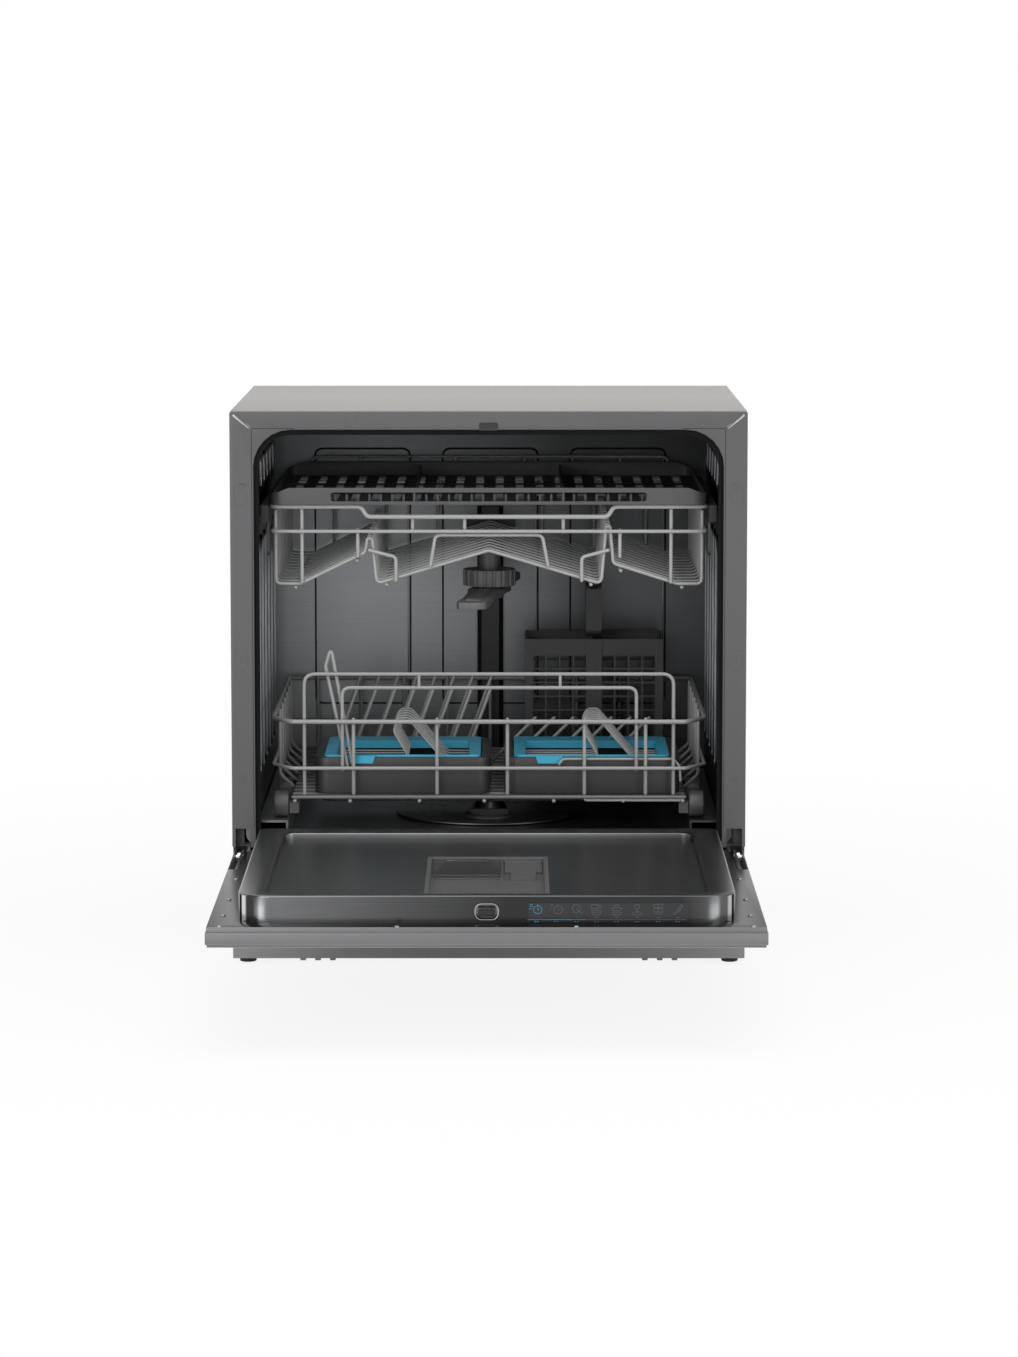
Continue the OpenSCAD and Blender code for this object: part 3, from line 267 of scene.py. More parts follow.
base_plastic = finish("base_plastic", (0.30, 0.30, 0.305), 0.62, scale=1400, depth=0.35)
foot_rubber = finish("foot_rubber", (0.03, 0.03, 0.03), 0.8, scale=600, depth=0.3)
dress(base_plastic, "base_tray")
softened("feet", "cabinet", "foot_rubber", foot_rubber, (lambda a, b: max(a.z, b.z) < 0.1, 1.2, 2))

# Cabinet: pressed and folded steel sheets with a satin grey powder coat,
# whose fine orange peel only shows in the reflections. The top sheet's coat
# is painted paler and warmer, a painted highlight for the light it reflects,
# and the frame round the opening is a welded U.
cabinet_paint = finish("cabinet_paint", (0.103, 0.103, 0.106), 0.42, metal=0.25, scale=420, depth=0.08)
# The top sheet's coat is the cabinet's grey, painted paler and warmer as a painted highlight
top_paint_painted_light = finish("top_paint_painted_light", (0.31, 0.298, 0.285), 0.45, metal=0.1, scale=420, depth=0.08)
zinc = finish("zinc_plate", (0.10, 0.10, 0.105), 0.4, metal=0.9, scale=300, depth=0.1, patches=0.3)
dress(cabinet_paint, "side_panels", "back_panel")
dress(zinc, "pocket_beam")
cabinet_side, cabinet_top, opening_side, opening_top, sill_top = 274.9, 594.9, 250.5, 577, 134


def frame_outside(a, b):
    """An edge round the outside of the frame's face."""
    return max(a.y, b.y) < 0.01 and (min(abs(a.x), abs(b.x)) > cabinet_side or min(a.z, b.z) > cabinet_top)


def frame_opening(a, b):
    """An edge round the opening in the frame's face."""
    return (max(a.y, b.y) < 0.01 and sill_top < min(a.z, b.z) and max(a.z, b.z) < opening_top
            and max(abs(a.x), abs(b.x)) < opening_side)


surround = softened("front_frame", "cabinet", "cabinet_steel", cabinet_paint,
                    (frame_outside, 1.4, 3), (frame_opening, 0.9, 2))
# The sill under the opening is left as bare, bright sheet
sill_steel = finish("sill_steel", (0.62, 0.63, 0.64), 0.3, metal=0.6, scale=400, depth=0.05)
surround.data.materials.append(sill_steel)
for face in surround.data.polygons:
    if face.center.z < 0.1345 and abs(face.center.x) < opening_side / 1000:
        face.material_index = 1
softened("top_cover", "cabinet", "top_steel", top_paint_painted_light, (lambda a, b: min(a.z, b.z) > cabinet_top, 0.45, 2))

# Striker: a dark plastic catch that shows in a notch of the frame's upper
# bar, where the door's latch plate meets it.
catch = bmesh.new()
notch_floor = 576.6
for high, deep in ((7, 0.3), (5.6, 0.7)):
    middle = (0, front * 1000 - deep / 2, notch_floor + high / 2)
    catch_block = Matrix.LocRotScale(middle, None, (13 + high, deep, high))
    corners = bmesh.ops.create_cube(catch, size=1, matrix=catch_block)["verts"]
    top = [e for e in catch.edges if all(v in corners and v.co.z > notch_floor + 1 for v in e.verts)
           and abs(e.verts[0].co.x - e.verts[1].co.x) < 0.1]
    bmesh.ops.bevel(catch, geom=top, offset=1.6, segments=3, profile=0.5, affect="EDGES", material=-1)
bmesh.ops.scale(catch, vec=(0.001, 0.001, 0.001), verts=catch.verts)

# Tub: a deep drawn stainless box with a soft, slightly blue sheen, which
# mirrors the baskets only as a blur. The lower rails and the filter plate
# are of the same steel, and what else it holds is moulded plastic.
brushed, brushed_in, brushed_out = group(
    "brushed_lines", {"Scale": 900, "Depth": 0.2, "Patches": 0.08}, {"Tint": "Float", "Normal": "Vector"})
brushed_at = brushed.nodes.new("ShaderNodeTexCoord")
brushed_stretch = brushed.nodes.new("ShaderNodeMapping")
brushed_stretch.inputs["Scale"].default_value = (0.02, 1, 1)
brushed_noise = brushed.nodes.new("ShaderNodeTexNoise")
brushed_noise.inputs["Detail"].default_value = 4
brushed_bump = brushed.nodes.new("ShaderNodeBump")
brushed_bump.inputs["Distance"].default_value = 0.0002
brushed_tint = brushed.nodes.new("ShaderNodeMath")
brushed_tint.operation = "MULTIPLY_ADD"
brushed_tint.inputs[2].default_value = 1
brushed_centre = brushed.nodes.new("ShaderNodeMath")
brushed_centre.operation = "SUBTRACT"
brushed_centre.inputs[1].default_value = 0.5
brushed.links.new(brushed_at.outputs["Object"], brushed_stretch.inputs["Vector"])
brushed.links.new(brushed_stretch.outputs[0], brushed_noise.inputs["Vector"])
brushed.links.new(brushed_in.outputs["Scale"], brushed_noise.inputs["Scale"])
brushed.links.new(brushed_noise.outputs["Fac"], brushed_bump.inputs["Height"])
brushed.links.new(brushed_in.outputs["Depth"], brushed_bump.inputs["Strength"])
brushed.links.new(brushed_noise.outputs["Fac"], brushed_centre.inputs[0])
brushed.links.new(brushed_centre.outputs[0], brushed_tint.inputs[0])
brushed.links.new(brushed_in.outputs["Patches"], brushed_tint.inputs[1])
brushed.links.new(brushed_tint.outputs[0], brushed_out.inputs["Tint"])
brushed.links.new(brushed_bump.outputs["Normal"], brushed_out.inputs["Normal"])

tub_steel = finish("tub_steel", (0.335, 0.348, 0.36), 0.36, metal=1, scale=500, depth=0.05, patches=0.25,
                   texture=brushed)


def shaded(mat, *falls):
    """Paints light and shade into a finish along a piece, making it paler or darker. Each fall is an axis,
    two places on it in metres and the tint at each."""
    tree = mat.node_tree
    at = tree.nodes.new("ShaderNodeTexCoord")
    parts = tree.nodes.new("ShaderNodeSeparateXYZ")
    tree.links.new(at.outputs["Object"], parts.inputs[0])
    tinted = next(n for n in tree.nodes if n.type == "VECT_MATH")
    for axis, *ends in falls:
        fall = tree.nodes.new("ShaderNodeMapRange")
        for socket, value in zip(("From Min", "From Max", "To Min", "To Max"), ends):
            fall.inputs[socket].default_value = value
        tree.links.new(parts.outputs[axis], fall.inputs["Value"])
        tint = tree.nodes.new("ShaderNodeMath")
        tint.operation = "MULTIPLY"
        tree.links.new(tinted.inputs["Scale"].links[0].from_socket, tint.inputs[0])
        tree.links.new(fall.outputs["Result"], tint.inputs[1])
        tree.links.new(tint.outputs[0], tinted.inputs["Scale"])


# Painted reflection and shade on the drawn steel: it is painted paler on the left of its back wall and
# towards the floor, and darker on its left side wall
shaded(tub_steel, ("X", -0.15, 0.09, 1.0, 0.32), ("X", -0.249, -0.236, 0.62, 1.0),
       ("Z", 0.4, 0.56, 1.0, 0.42))
seal_rubber = finish("seal_rubber", (0.007, 0.007, 0.0075), 0.85, scale=500, depth=0.2, shine=0.15)
black_plastic = finish("black_plastic", (0.014, 0.014, 0.015), 0.38, scale=1200, depth=0.25)
dark_plastic = finish("dark_plastic", (0.082, 0.081, 0.083), 0.45, scale=1400, depth=0.3)
arm_plastic = finish("arm_plastic", (0.12, 0.116, 0.118), 0.42, scale=1400, depth=0.2)
dress(tub_steel, "tub", "lower_rails", "filter_plate")
dress(seal_rubber, "door_seal")
dress(black_plastic, "latch_striker", "upper_rails", "wash_pump", "drain_pump", "water_column",
      "docking_head", "tine_clips", "rail_rollers_front", "rail_rollers_rear")
dress(dark_plastic, "sump", "filter_cup", "water_inlet", "roller_brackets", "feed_pipe")
dress(arm_plastic, "lower_spray_arm")
fitted(catch, "striker_catch", "cabinet", black_plastic)


def bent(points, bend):
    """The path of a wire through some points, with each corner rounded to about the given radius."""
    path = [Vector(points[0])]
    for before, corner, after in zip(points, points[1:], points[2:]):
        back, on = Vector(before) - Vector(corner), Vector(after) - Vector(corner)
        turn = math.pi - back.angle(on)
        if turn < 0.02:
            path.append(Vector(corner))
            continue
        cut = min(bend * math.tan(turn / 2), back.length * 0.45, on.length * 0.45)
        start, end = Vector(corner) + back.normalized() * cut, Vector(corner) + on.normalized() * cut
        steps = max(2, round(turn / 0.3))
        for k in range(steps + 1):
            t = k / steps
            path.append(start * (1 - t) ** 2 + Vector(corner) * 2 * t * (1 - t) + end * t ** 2)
    path.append(Vector(points[-1]))
    return path


def drawn(name, body, mat, runs, replaced=(), sides=3):
    """One piece of round wires. Each run is its points in millimetres from the cabinet's front, its diameter,
    its bend, and whether it is a ring or has domed or cut ends."""
    curve = bpy.data.curves.new(name, "CURVE")
    curve.dimensions = "3D"
    curve.bevel_depth = 0.001
    curve.bevel_resolution = sides
    curve.use_fill_caps = True
    for points, size, bend, ends in runs:
        radius = size / 2
        if ends == "ring":
            half = (Vector(points[0]) + Vector(points[-1])) / 2
            path = bent([half] + list(points) + [half], bend)[:-1]
            stops = [(p, radius) for p in path]
        else:
            path = bent(points, bend)
            stops = [(p, radius) for p in path]
            if ends == "domed":
                for end, inner in ((path[0], path[1]), (path[-1], path[-2])):
                    along = (end - inner).normalized()
                    dome = [(end - along * radius * (1 - math.sin(t)), radius * math.cos(t))
                            for t in (0, 0.6, 1.1, 1.45)]
                    if end is path[0]:
                        stops = dome[::-1] + stops[1:]
                    else:
                        stops = stops[:-1] + dome
        spline = curve.splines.new("POLY")
        spline.points.add(len(stops) - 1)
        spline.use_cyclic_u = ends == "ring"
        for point, (p, r) in zip(spline.points, stops):
            point.co = (p.x / 1000, p.y / 1000 + front, p.z / 1000, 1)
            point.radius = r
    curve.materials.append(mat)
    piece = bpy.data.objects.new(name, curve)
    bpy.context.scene.collection.objects.link(piece)
    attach(piece, body)
    if replaced:
        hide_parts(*replaced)


# Pressed lines: a fine line of painted shade, with a light edge, marks the
# step round each panel of the tub's back wall, and light beads run round
# the ribs of its sides. The frame has welded mitres, a dark seam round its
# opening and plugged holes.
painted_shade_and_seams = finish("painted_shade_and_seams", (0.006, 0.006, 0.007), 0.7, scale=400, depth=0.1)
bead_steel = finish("bead_steel", (0.33, 0.34, 0.35), 0.3, metal=1, scale=500, depth=0.05)
back_wall, rib_pitch, rib_width = 447.2, 64, 22
steps, beads = [], []
for x in (-148, 0, 148):
    steps.append(([(x - 55, back_wall, 227), (x + 55, back_wall, 227), (x + 55, back_wall, 524),
                   (x - 55, back_wall, 524)], 2.2, 9, "ring"))
    beads.append(([(x + 52.6, back_wall - 1.3, 516), (x + 52.6, back_wall - 1.3, 234)], 1.2, 5, "domed"))
for side in (-1, 1):
    for i in range(6):
        y0 = 62 + i * rib_pitch
        y1 = y0 + rib_width
        for x, z0, z1 in ((side * 248.2, 196, 452), (side * 249.5, 500, 540)):
            beads.append(([(x, y0, z0), (x, y1, z0), (x, y1, z1), (x, y0, z1)], 1.4, 9, "ring"))
# The dark lines round the back wall's panels are painted shade for their steps
drawn("tub_steps", "cabinet", painted_shade_and_seams, steps, sides=2)
drawn("tub_beads", "cabinet", bead_steel, beads, sides=2)
mitre_weld = finish("mitre_weld", (0.42, 0.41, 0.40), 0.28, metal=0.7, scale=300, depth=0.15)
drawn("frame_welds", "cabinet", mitre_weld,
      [([(s * 272.2, 1.95, 592.5), (s * 252.4, 1.95, 576.8)], 5, 5, "domed") for s in (-1, 1)])
drawn("frame_seams", "cabinet", painted_shade_and_seams,
      [([(s * 206, 0.15, 577.2), (s * 251.6, 0.15, 577.2), (s * 251.6, 0.15, 150)], 0.7, 0.5, "cut")
       for s in (-1, 1)], sides=1)
plugs = []
for x, z, wide, high in ((-128, 587, 24, 10), (128, 587, 24, 10), (-264, 507, 13, 22), (264, 508, 13, 22),
                         (-264, 330, 13, 22), (264, 330, 13, 22)):
    plugs.append(([(x - wide / 2, 0.12, z - high / 2), (x + wide / 2, 0.12, z - high / 2),
                   (x + wide / 2, 0.12, z + high / 2), (x - wide / 2, 0.12, z + high / 2)], 0.6, 6, "ring"))
drawn("frame_marks", "cabinet", cabinet_paint, plugs, sides=1)

# Door: a coated outer panel folded over in three narrow bevels round its
# edge, and an inner liner of brushed stainless steel that stands into the
# tub. The liner's rim is drawn round, and a shallow well lies inside it.
door_paint = finish("door_paint", (0.165, 0.165, 0.168), 0.4, metal=0.25, scale=420, depth=0.08)
liner_steel = finish("liner_steel", (0.17, 0.172, 0.175), 0.3, metal=1, scale=700, depth=0.12, patches=0.35,
                     texture=brushed)
# Painted shade: the liner's brushed steel is painted darker towards its right
shaded(liner_steel, ("X", 0.05, 0.22, 1.0, 0.5))
# The liner's end is steel with a painted reflection: painted dark, darkening from its left towards its right,
# with painted highlights at its two round corners
end_steel_painted_light = finish("end_steel_painted_light", (0.092, 0.093, 0.095), 0.22, metal=1, scale=700, depth=0.12, patches=0.3,
                   texture=brushed)
shaded(end_steel_painted_light, ("X", -0.2362, -0.2345, 7.0, 0.5), ("X", -0.2245, -0.221, 1.0, 3.6),
       ("X", -0.2, -0.1, 1.0, 0.6), ("X", -0.1, 0.02, 1.0, 0.42),
       ("X", 0.19, 0.225, 1.0, 2.6), ("X", 0.2345, 0.2362, 1.0, 4.0))
bright_steel = finish("bright_steel", (0.6, 0.6, 0.6), 0.22, metal=1, scale=400, depth=0.05, patches=0.2)
control_film = finish("control_film", (0.055, 0.056, 0.059), 0.22, metal=1, scale=400, depth=0.02)
# The flange's bare steel is painted near black as painted shade
flange_painted_shade = finish("flange_painted_shade", (0.04, 0.04, 0.042), 0.25, metal=1, scale=700, depth=0.08, patches=0.3)
panel = softened("door_panel", "door", "door_steel", door_paint,
                 (lambda a, b: max(a.y, b.y) < -480 or min(abs(a.x), abs(b.x)) > 270, 1.0, 2))
# The turned-in flange under the liner is bare steel painted near black, a painted shade
# for the groove round the liner, and the coat is painted paler on the bevels that face
# the floor, a painted highlight for the light they catch
bevel_painted_light = finish("bevel_painted_light", (0.33, 0.33, 0.335), 0.4, metal=0.25, scale=420, depth=0.08)
panel.data.materials.append(flange_painted_shade)
panel.data.materials.append(bevel_painted_light)
for face in panel.data.polygons:
    if face.center.z > 0.1255 and face.normal.z > 0.95:
        face.material_index = 1
    elif -0.9 < face.normal.z < -0.15:
        face.material_index = 2


liner_crest = 152.9


def outer_rim(a, b):
    """An edge along the outside of the liner's crest."""
    return min(a.z, b.z) > liner_crest and (min(abs(a.x), abs(b.x)) > 218 or max(a.y, b.y) < -443
                                            or min(a.y, b.y) > -60)


def well_rim(a, b):
    """An edge round the shallow well."""
    return min(a.z, b.z) > liner_crest and max(abs(a.x), abs(b.x)) < 217 and -443 < min(a.y, b.y)


liner = softened("door_liner", "door", "liner_steel", liner_steel, (outer_rim, 4.5, 4), (well_rim, 2, 3),
                 shade=25)
liner.data.materials.append(end_steel_painted_light)
for face in liner.data.polygons:
    if face.center.y < -0.44 and face.normal.y < -0.6:
        face.material_index = 1
dress(bright_steel, "hinge_pins", "hinge_arms", "hinge_brackets")
dress(control_film, "control_strip")

# Screws: round headed zinc plated ones with a six sided drive hold the
# panel to the liner along its front and sides.
screws = bmesh.new()
flange_top = 125.9
screw_places = [(s * 87, -479) for s in (-1, 1)]
screw_places += [(s * 259, y) for s in (-1, 1) for y in (-479, -417, -324, -200)]
for x, y in screw_places:
    head = bmesh.ops.create_cone(screws, cap_ends=True, segments=20, radius1=2.4, radius2=2.4, depth=1.4,
                                 matrix=Matrix.Translation((x, y + front * 1000, flange_top + 0.7)))["verts"]
    crown = [e for e in screws.edges if all(v in head and v.co.z > flange_top + 1 for v in e.verts)]
    bmesh.ops.bevel(screws, geom=crown, offset=0.7, segments=3, profile=0.5, affect="EDGES", material=-1)
    bmesh.ops.create_cone(screws, cap_ends=True, segments=6, radius1=1.0, radius2=1.0, depth=0.1,
                          matrix=Matrix.Translation((x, y + front * 1000, flange_top + 1.4)))
bmesh.ops.scale(screws, vec=(0.001, 0.001, 0.001), verts=screws.verts)
screw_zinc = finish("screw_zinc", (0.3, 0.3, 0.3), 0.35, metal=1, scale=300, depth=0.05)
fitted(screws, "door_screws", "door", screw_zinc)

# Control marks: fine pictograms printed on the strip for eight programmes,
# the first lit blue, over a thin line that runs from blue to grey.
mark_grey = finish("mark_grey", (0.105, 0.108, 0.11), 0.5, scale=400, depth=0.02)
mark_blue = finish("mark_blue", (0.06, 0.33, 0.52), 0.5, scale=400, depth=0.02)


def circle(u, v, r):
    """A ring of points on the strip."""
    return [(u + r * math.cos(t * math.pi / 4), v + r * math.sin(t * math.pi / 4)) for t in range(8)]


dial = [("ring", circle(1.6, 0, 4.4)), ("cut", [(1.6, 2.6), (1.6, 0), (3.6, 0)]),
        ("cut", [(-6, 3.5), (-3.6, 3.5)]), ("cut", [(-6.6, 1), (-4.2, 1)]), ("cut", [(-6, 5.6), (-3, 5.6)]),
        ("cut", [(1.6, 4.4), (1.6, 6)])]
leaf = [("ring", [(-4.5, 3), (-1, 6), (3, 4), (3.4, -1), (0, -3.5), (-3.5, -1.5)]),
        ("cut", [(0, 1), (4.5, -3.5), (6, -3.5)])]
mug = [("ring", [(-5, 5.5), (1, 5.5), (1, 1.2), (-5, 1.2)]),
       ("cut", [(1, 4.4), (4.4, 4.4), (4.4, 2.2), (1, 2.2)]),
       ("cut", [(-6, -1), (5.5, -1)]), ("ring", [(-4.5, -2.6), (4.2, -2.6), (3, -5.4), (-3.4, -5.4)])]
pot = [("ring", [(-4, 2.5), (4, 2.5), (3.4, -1), (-3.4, -1)]), ("cut", [(-5.8, 1.6), (-4, 1.6)]),
       ("cut", [(4, 1.6), (5.8, 1.6)]), ("cut", [(-3, 4), (0, 5.6), (3, 4)]),
       ("ring", [(-5, -2.6), (5, -2.6), (3.6, -5.6), (-3.6, -5.6)])]
glass = [("ring", circle(0, 3.4, 2.4)), ("cut", [(0, 1), (0, -2)]), ("cut", [(-2, -2), (2, -2)]),
         ("ring", [(-5, -3.4), (5, -3.4), (3.6, -5.8), (-3.6, -5.8)])]
rack = [("ring", [(-4.4, 6), (4.4, 6), (4.4, 2.4), (-4.4, 2.4)]),
        ("ring", [(-4.4, 1), (4.4, 1), (4.4, -2.4), (-4.4, -2.4)]),
        ("cut", [(0, 6), (0, 2.4)]), ("cut", [(-4.4, -4.4), (4.4, -4.4)]), ("cut", [(0, 1), (0, -2.4)])]
brush = [("cut", [(-4.4, -5), (0.5, 0)]), ("cut", [(-2.8, -5.6), (2, -1)]),
         ("ring", [(0, 1), (3.4, 5.4), (5, 4), (1.6, -0.6)])]
lit, plain = [], []
strip_face = -458.0
programmes = [(48, dial), (68, dial), (87.5, leaf), (107, mug), (126.5, pot), (146.5, glass), (167, rack),
              (186, brush)]
for k, (x, sign) in enumerate(programmes):
    ink = plain if k else lit
    for kind, line in sign:
        ink.append(([(x + u, strip_face, 139.2 + v * 0.92) for u, v in line], 0.55, 0.8, kind))
    for u in (-2.4, 0.4) if k else (-1.6, 0.8):
        ink.append(([(x + u, strip_face, 127.4), (x + u + 1.7, strip_face, 127.4)], 0.9, 1, "cut"))
    if k > 1:
        ink.append(([(x - 1.6, strip_face, 131.6), (x + 1.6, strip_face, 131.6)], 0.6, 1, "cut"))
lit.append(([(39.5, strip_face, 129.4), (96, strip_face, 129.4)], 0.5, 1, "cut"))
plain.append(([(96, strip_face, 129.4), (194.5, strip_face, 129.4)], 0.5, 1, "cut"))
drawn("lit_marks", "door", mark_blue, lit, sides=1)
drawn("plain_marks", "door", mark_grey, plain, sides=1)

# Dispenser: a dark moulding let into the liner, with a smoked sliding lid
# over the detergent cup, and a hinged flap with a push button over the
# rinse aid filler. The latch is a spring plate in a bright oval ring.
lid_smoke = finish("lid_smoke", (0.035, 0.034, 0.034), 0.3, scale=400, depth=0.02, coat=0.2)
latch_rim = finish("latch_rim", (0.32, 0.32, 0.325), 0.3, metal=1, scale=400, depth=0.05)
softened("dispenser_body", "door", "dark_plastic", dark_plastic, (lambda a, b: min(a.z, b.z) > 150.9, 0.8, 2))
softened("detergent_lid", "detergent_lid", "lid_smoke", lid_smoke, (lambda a, b: min(a.z, b.z) > 149, 0.6, 2))
softened("rinse_aid_flap", "rinse_aid_flap", "dark_plastic", dark_plastic,
         (lambda a, b: min(a.z, b.z) > 146.5, 0.5, 2))
softened("latch_housing", "door", "bright_steel", latch_rim, (lambda a, b: max(a.y, b.y) < -457, 0.5, 2))
latch_grey = finish("latch_grey", (0.05, 0.05, 0.053), 0.35, metal=0.4, scale=900, depth=0.1)
softened("latch_bolt", "latch_bolt", "black_plastic", latch_grey, (every, 0.4, 2))
drawn("latch_dots", "latch_bolt", painted_shade_and_seams,
      [([(x, -457.85, 139.7), (x + 1.2, -457.85, 139.7)], 1.7, 1, "cut") for x in (-5.2, -0.6, 4.0)], sides=2)

# Lower basket: drawn wire, welded and dipped in light grey polyamide. The
# rim and the middle wire are rings with cut front corners, two loops stand
# at the front, and some floor wires are bent up into the sides.
wire_coat = finish("wire_coat", (0.42, 0.42, 0.41), 0.34, scale=300, depth=0.12, patches=0.2)
# The lower basket's wires have the upper basket's coat, painted darker as painted shade
lower_coat_painted_shade = finish("lower_coat_painted_shade", (0.35, 0.35, 0.34), 0.34, scale=300, depth=0.12, patches=0.2)
# The lower basket's floor wires have the same coat, painted darker still as painted shade
floor_coat_painted_shade = finish("floor_coat_painted_shade", (0.17, 0.17, 0.165), 0.4, scale=300, depth=0.12, patches=0.2)
half, fore, back = 233.5, 37.5, 429
outline = [(-half, back), (-half, fore + 34), (21 - half, fore), (half - 21, fore), (half, fore + 34),
           (half, back)]
drawn("lower_rims", "lower_basket", lower_coat_painted_shade,
      [([(x, y, z) for x, y in outline], size, 9, "ring") for z, size in ((258.6, 5), (208, 4))],
      ["lower_rim_wires"])
floor_end, floor_level = 213.5, 176.05
cross_y = [fore + 4 + i * (back - fore - 8) / 15 for i in range(16)]
drawn("lower_floor", "lower_basket", floor_coat_painted_shade,
      [([(-floor_end, y, floor_level), (floor_end, y, floor_level)], 4, 5, "domed") for y in cross_y],
      ["lower_floor_wires"])
drawn("lower_keels", "lower_basket", lower_coat_painted_shade,
      [([(x, fore, 172), (x, back, 172)], 4, 5, "domed") for x in (-209.5, -150, -75, -5, 70, 145, 209.5)],
      ["lower_runners"])
inside, foot, rim_top, loop_top = 4.55, 178.1, 262.6, 309.8
loop_y = fore + inside
hook_y = loop_y + 4
fence = [([(-199, loop_y, foot), (-199, loop_y, loop_top), (199, loop_y, loop_top), (199, loop_y, foot)],
          4, 12, "domed"),
         ([(-158, loop_y, 204), (-158, loop_y, 295), (159, loop_y, 295), (159, loop_y, 204)], 4, 9, "domed")]
fence += [([(x, loop_y, foot), (x, loop_y, rim_top)], 4, 5, "domed") for x in (-146, -56, 20, 103, 169)]
fence += [([(x, loop_y, 295), (x, loop_y, loop_top)], 3.4, 5, "cut") for x in (-75.2, 76.8)]
fence += [([(x, back - inside, foot), (x, back - inside, rim_top)], 4, 5, "domed")
          for x in range(-200, 201, 50)]
for side in (-1, 1):
    wall = side * (half - inside)
    for y in cross_y[3:15:2]:
        fence.append(([(side * floor_end, y, floor_level), (wall, y, 190), (wall, y, rim_top)],
                      4, 8, "domed"))
fence.append(([(-152, hook_y, 206), (-176, hook_y, 318), (-170, hook_y, 338), (-146, hook_y, 206)],
              4, 5, "domed"))
# A low rail and a foot loop guard the right tray
fence += [([(75, hook_y, 210), (80, hook_y, 217), (199, hook_y, 217), (206, hook_y, 209), (207, hook_y, 192)],
           3, 5, "domed"),
          ([(103.5, loop_y, 178), (103.5, loop_y, 172.5), (209.5, loop_y, 172.5), (209.5, loop_y, 178)],
           3, 4, "cut")]
drawn("lower_fence", "lower_basket", lower_coat_painted_shade, fence, ["lower_fences"])

# Tine rows: straight wires with domed tips, welded to an axle that turns
# in three plastic clips on the floor, so a row folds down for pots.
tine_pitch, axle_radius, axle_z = 21.3, 2.5, 180.85
for place, x0, y, count, lean, height in (
        ("left_front", -181, fore + 186, 8, 20, 91),
        ("left_rear", -181, fore + 286, 8, 20, 91),
        ("right", -4, fore + 206, 7, 45, 54)):
    tip = axle_z + axle_radius + height
    aside = (axle_radius + height) * math.tan(math.radians(lean))
    row = [([(x0 - 5, y, axle_z), (x0 + (count - 1) * tine_pitch + 12, y, axle_z)], 5, 5, "cut")]
    row += [([(x0 + i * tine_pitch, y, axle_z), (x0 + i * tine_pitch + aside, y, tip)], 4, 5, "domed")
            for i in range(count)]
    drawn("tines_" + place, "tines_" + place, lower_coat_painted_shade, row, ["tine_row_" + place])

# Rollers: dark nylon with a sunken face and a rounded tread, on brackets
# clipped under the runners, and the plates that set the upper basket's
# height.
roller_z, tread = 167.3, 13.5
for k, axle in enumerate((53.5, 155.5, 299, 407)):
    softened(f"lower_rollers_{k + 1}", f"rollers_{k + 1}", "dark_plastic", dark_plastic,
             (lambda a, b, y=axle: all(math.hypot(v.y - y, v.z - roller_z) > tread for v in (a, b)), 1.2, 2))
softened("height_plates", "upper_basket", "dark_plastic", dark_plastic, (every, 0.5, 2))

# Trays: two deep grey mouldings with blue frames that clip on top, and a
# rack of light wires inside, each bent up into a leaning loop. The cutlery
# basket behind the right one is a latticed moulding with a handle.
blue_plastic = finish("blue_plastic", (0.055, 0.41, 0.6), 0.4, scale=1400, depth=0.2)
caddy_plastic = finish("caddy_plastic", (0.058, 0.056, 0.058), 0.42, scale=1400, depth=0.3)
tray_plastic = finish("tray_plastic", (0.038, 0.036, 0.037), 0.42, scale=1400, depth=0.3)
softened("tray_inserts", "lower_basket", "insert_plastic", tray_plastic,
         (lambda a, b: min(a.z, b.z) > 217.9 or max(a.z, b.z) < 178.4, 1.2, 3))


def rounded_loop(mesh, x0, x1, y0, y1, z, r):
    """The edges of a flat loop round a rectangle with rounded corners."""
    turned = Matrix.Translation((0, 0, z)) @ Matrix.Rotation(math.radians(7.5), 4, "Z")
    corners = bmesh.ops.create_circle(mesh, segments=24, radius=r, matrix=turned)["verts"]
    for v in corners:
        v.co.x += x0 + r if v.co.x < 0 else x1 - r
        v.co.y += y0 + r if v.co.y < 0 else y1 - r
    return [e for e in mesh.edges if e.verts[0] in corners and e.verts[1] in corners]


clips = bmesh.new()
clip_foot, tray_top, clip_top = 211.4, 218.15, 219.6
for x0, x1, tab in ((-178, -9, -138), (27, 195.5, 65.5)):
    loops = [rounded_loop(clips, x0 + cut, x1 - cut, 54.5 + cut, 204 - cut, z, 7)
             for cut, z in ((0, tray_top), (0, 219.8), (0.6, 220.4))]
    loops += [rounded_loop(clips, x0 + 12.5 - out, x1 - 12.5 + out, 58.6 - out, 173.5 + out, z, 4 + out)
              for out, z in ((0.6, clip_top), (0, 219), (0, clip_foot), (1.6, clip_foot), (1.6, tray_top))]
    for one, other in zip(loops, loops[1:] + loops[:1]):
        bmesh.ops.bridge_loops(clips, edges=one + other)
    # A tapered tab hangs over the tray's front wall
    for y0, y1, z0 in ((49.9, 51.3, clip_foot), (51.3, 54.7, tray_top)):
        block = Matrix.LocRotScale((tab, (y0 + y1) / 2, (z0 + clip_top) / 2), None,
                                   (30, y1 - y0, clip_top - z0))
        for v in bmesh.ops.create_cube(clips, size=1, matrix=block)["verts"]:
            if v.co.z < 212:
                v.co.x += 2.6 if v.co.x < tab else -2.6
bmesh.ops.recalc_face_normals(clips, faces=clips.faces)
bmesh.ops.transform(clips, verts=clips.verts,
                    matrix=Matrix.Translation((0, front, 0)) @ Matrix.Scale(0.001, 4))
fitted(clips, "tray_clips", "lower_basket", blue_plastic, ["tray_frames"])
racks = []
wire_z = 209.95
hoop_z = wire_z + 47
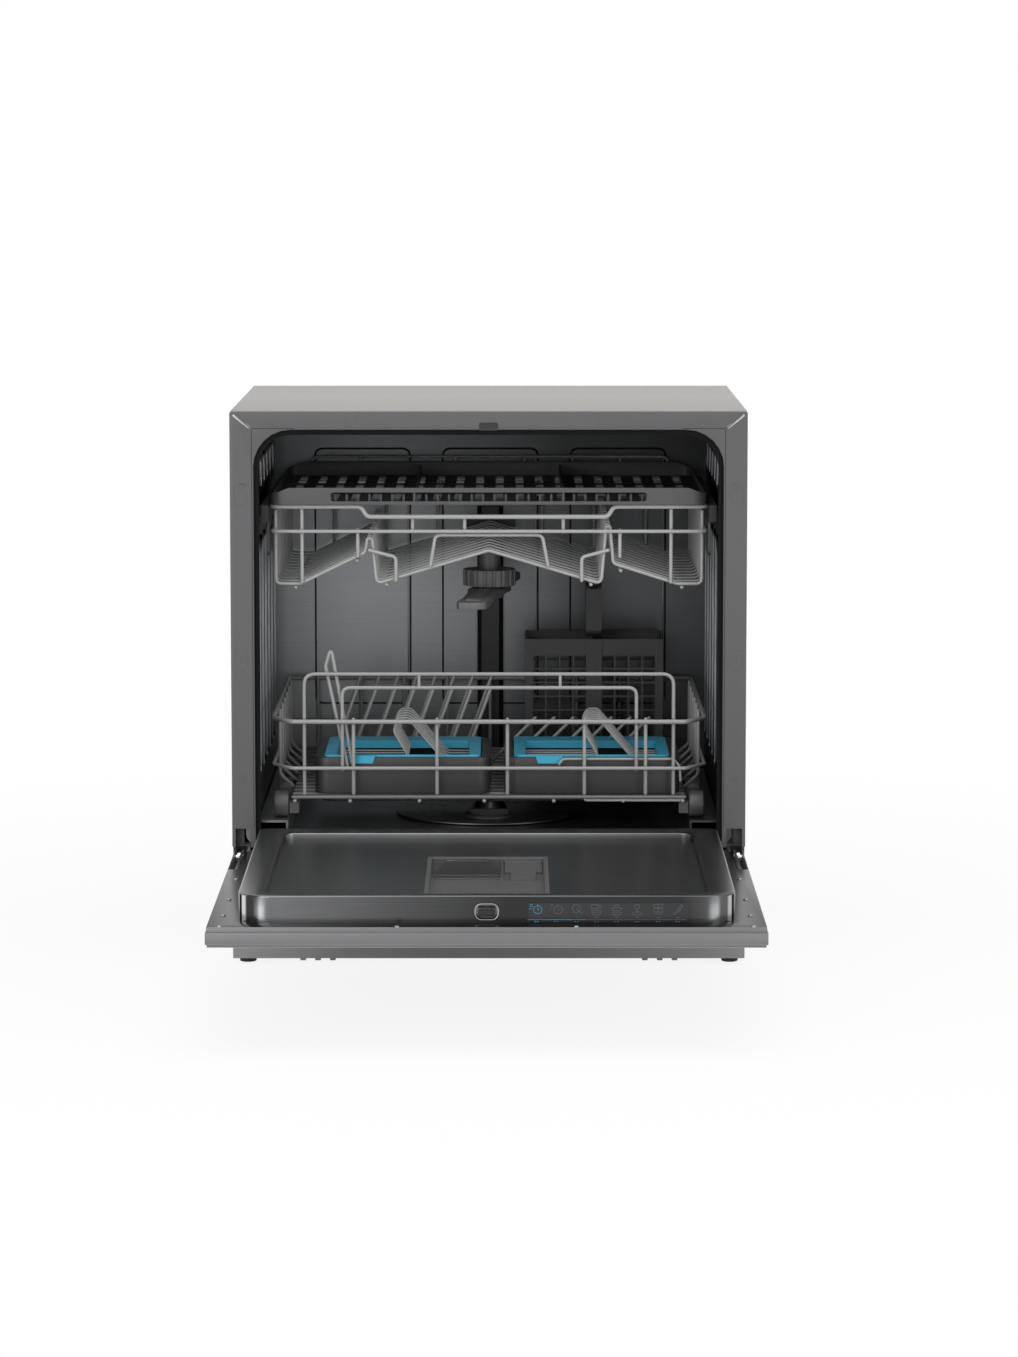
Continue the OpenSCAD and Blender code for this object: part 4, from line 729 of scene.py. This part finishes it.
for shift, count, pitch, start, end in ((0, 6, 20.4, -185.9, -1.1), (206, 7, 17, 19.1, 203.9)):
    for i in range(count):
        y = 62 + i * pitch
        racks.append(([(start, y, wire_z), (shift - 83, y, wire_z), (shift - 104, y, wire_z + 36),
                       (shift - 98, y, hoop_z), (shift - 86, y, hoop_z), (shift - 46, y, wire_z),
                       (end, y, wire_z)], 2, 8, "cut"))
drawn("tray_wires", "lower_basket", lower_coat_painted_shade, racks, ["tray_racks"])
dress(caddy_plastic, "cutlery_basket")

# Upper basket: twelve wires bent to the same wavy section, which holds
# cups upright, inside a rim that dips at the front. Short wires brace the
# waves, and a low loop stands on the rim at the rear.
top_fore, top_back, rim_z, middle_z, rear_loop_z = 50, back, 490, 463.3, 516
wave = [(-229.5, 485.3), (-229.5, 406), (-203, 406), (-133, 440), (-131, 455), (-125.5, 455), (-121, 406),
        (0, 442), (121, 406), (126.2, 468), (130.4, 468), (134, 428), (203, 406), (229.5, 406),
        (229.5, 485.3)]
drawn("upper_waves", "upper_basket", wire_coat,
      [([(x, 58.6 + i * 32.89, z) for x, z in wave], 2.2 if i else 3.6, 6, "cut") for i in range(12)],
      ["upper_floor_wires"])
rim = [([(-half, top_back, rim_z), (-half, top_fore, rim_z), (-137, top_fore, rim_z), (-131, top_fore, 479),
         (128, top_fore, 479), (134, top_fore, rim_z), (half, top_fore, rim_z), (half, top_back, rim_z)],
        5, 8, "ring"),
       ([(-half, top_fore, middle_z), (half, top_fore, middle_z), (half, top_back, middle_z),
         (-half, top_back, middle_z)], 4, 8, "ring"),
       ([(-205, top_back, rim_z), (-205, top_back, rear_loop_z), (205, top_back, rear_loop_z),
         (205, top_back, rim_z)], 3.4, 8, "cut")]
rim += [([(x, top_back, rim_z), (x, top_back, rear_loop_z)], 3.4, 5, "cut")
        for x in (-150, -95, -40, 40, 95, 150)]
drawn("upper_rims", "upper_basket", wire_coat, rim, ["upper_rim_wires"])
y = top_fore + inside
braces = [([(x, y, 406), (x, y, 491)], 4, 5, "domed") for x in (-201, 196)]
braces += [([(x, y, 434), (x, y, 466)], 4, 5, "domed") for x in (-141, 141)]
braces += [([(x, y, middle_z), (x, y, 479)], 4, 5, "cut") for x in (-82, -26, 80)]
braces += [([(s * 130, y, 443), (s * 100, y, 435), (s * 100, y, 408)], 4, 5, "domed") for s in (-1, 1)]
braces.append(([(-63, y, 424), (-57.5, y, 459), (57.5, y, 459), (64, y, 424)], 4, 7, "domed"))
braces += [([(x, top_back - inside, z), (x, top_back - inside, 491)], 4, 5, "domed")
           for x, z in ((-180, 417), (-120, 406), (-60, 424), (60, 424), (120, 406), (180, 413))]
braces += [([(x, top_fore + 6, z), (x, top_back - 6, z)], 4, 5, "domed")
           for x, z in ((-208, 402), (-142, 431), (-110, 405), (110, 405), (142, 420), (208, 402))]
drawn("upper_braces", "upper_basket", wire_coat, braces, ["upper_fences"])
softened("ring_nut", "upper_basket", "arm_plastic", arm_plastic, (lambda a, b: min(a.z, b.z) > 406.9, 1, 2))
softened("upper_spray_arm", "upper_arm", "arm_plastic", arm_plastic, (every, 0.6, 2))


# Cutlery tray: one dark moulding with a slotted floor, which rests on the
# rim of the upper basket.
def tray_lip(a, b):
    """An edge along the top of the tray, but for the slots in its front wall."""
    return min(a.z, b.z) > 502.6 and not (max(a.y, b.y) < 46 and min(a.z, b.z) < 506)


softened("cutlery_tray", "upper_basket", "dark_plastic", dark_plastic, (tray_lip, 0.8, 2))
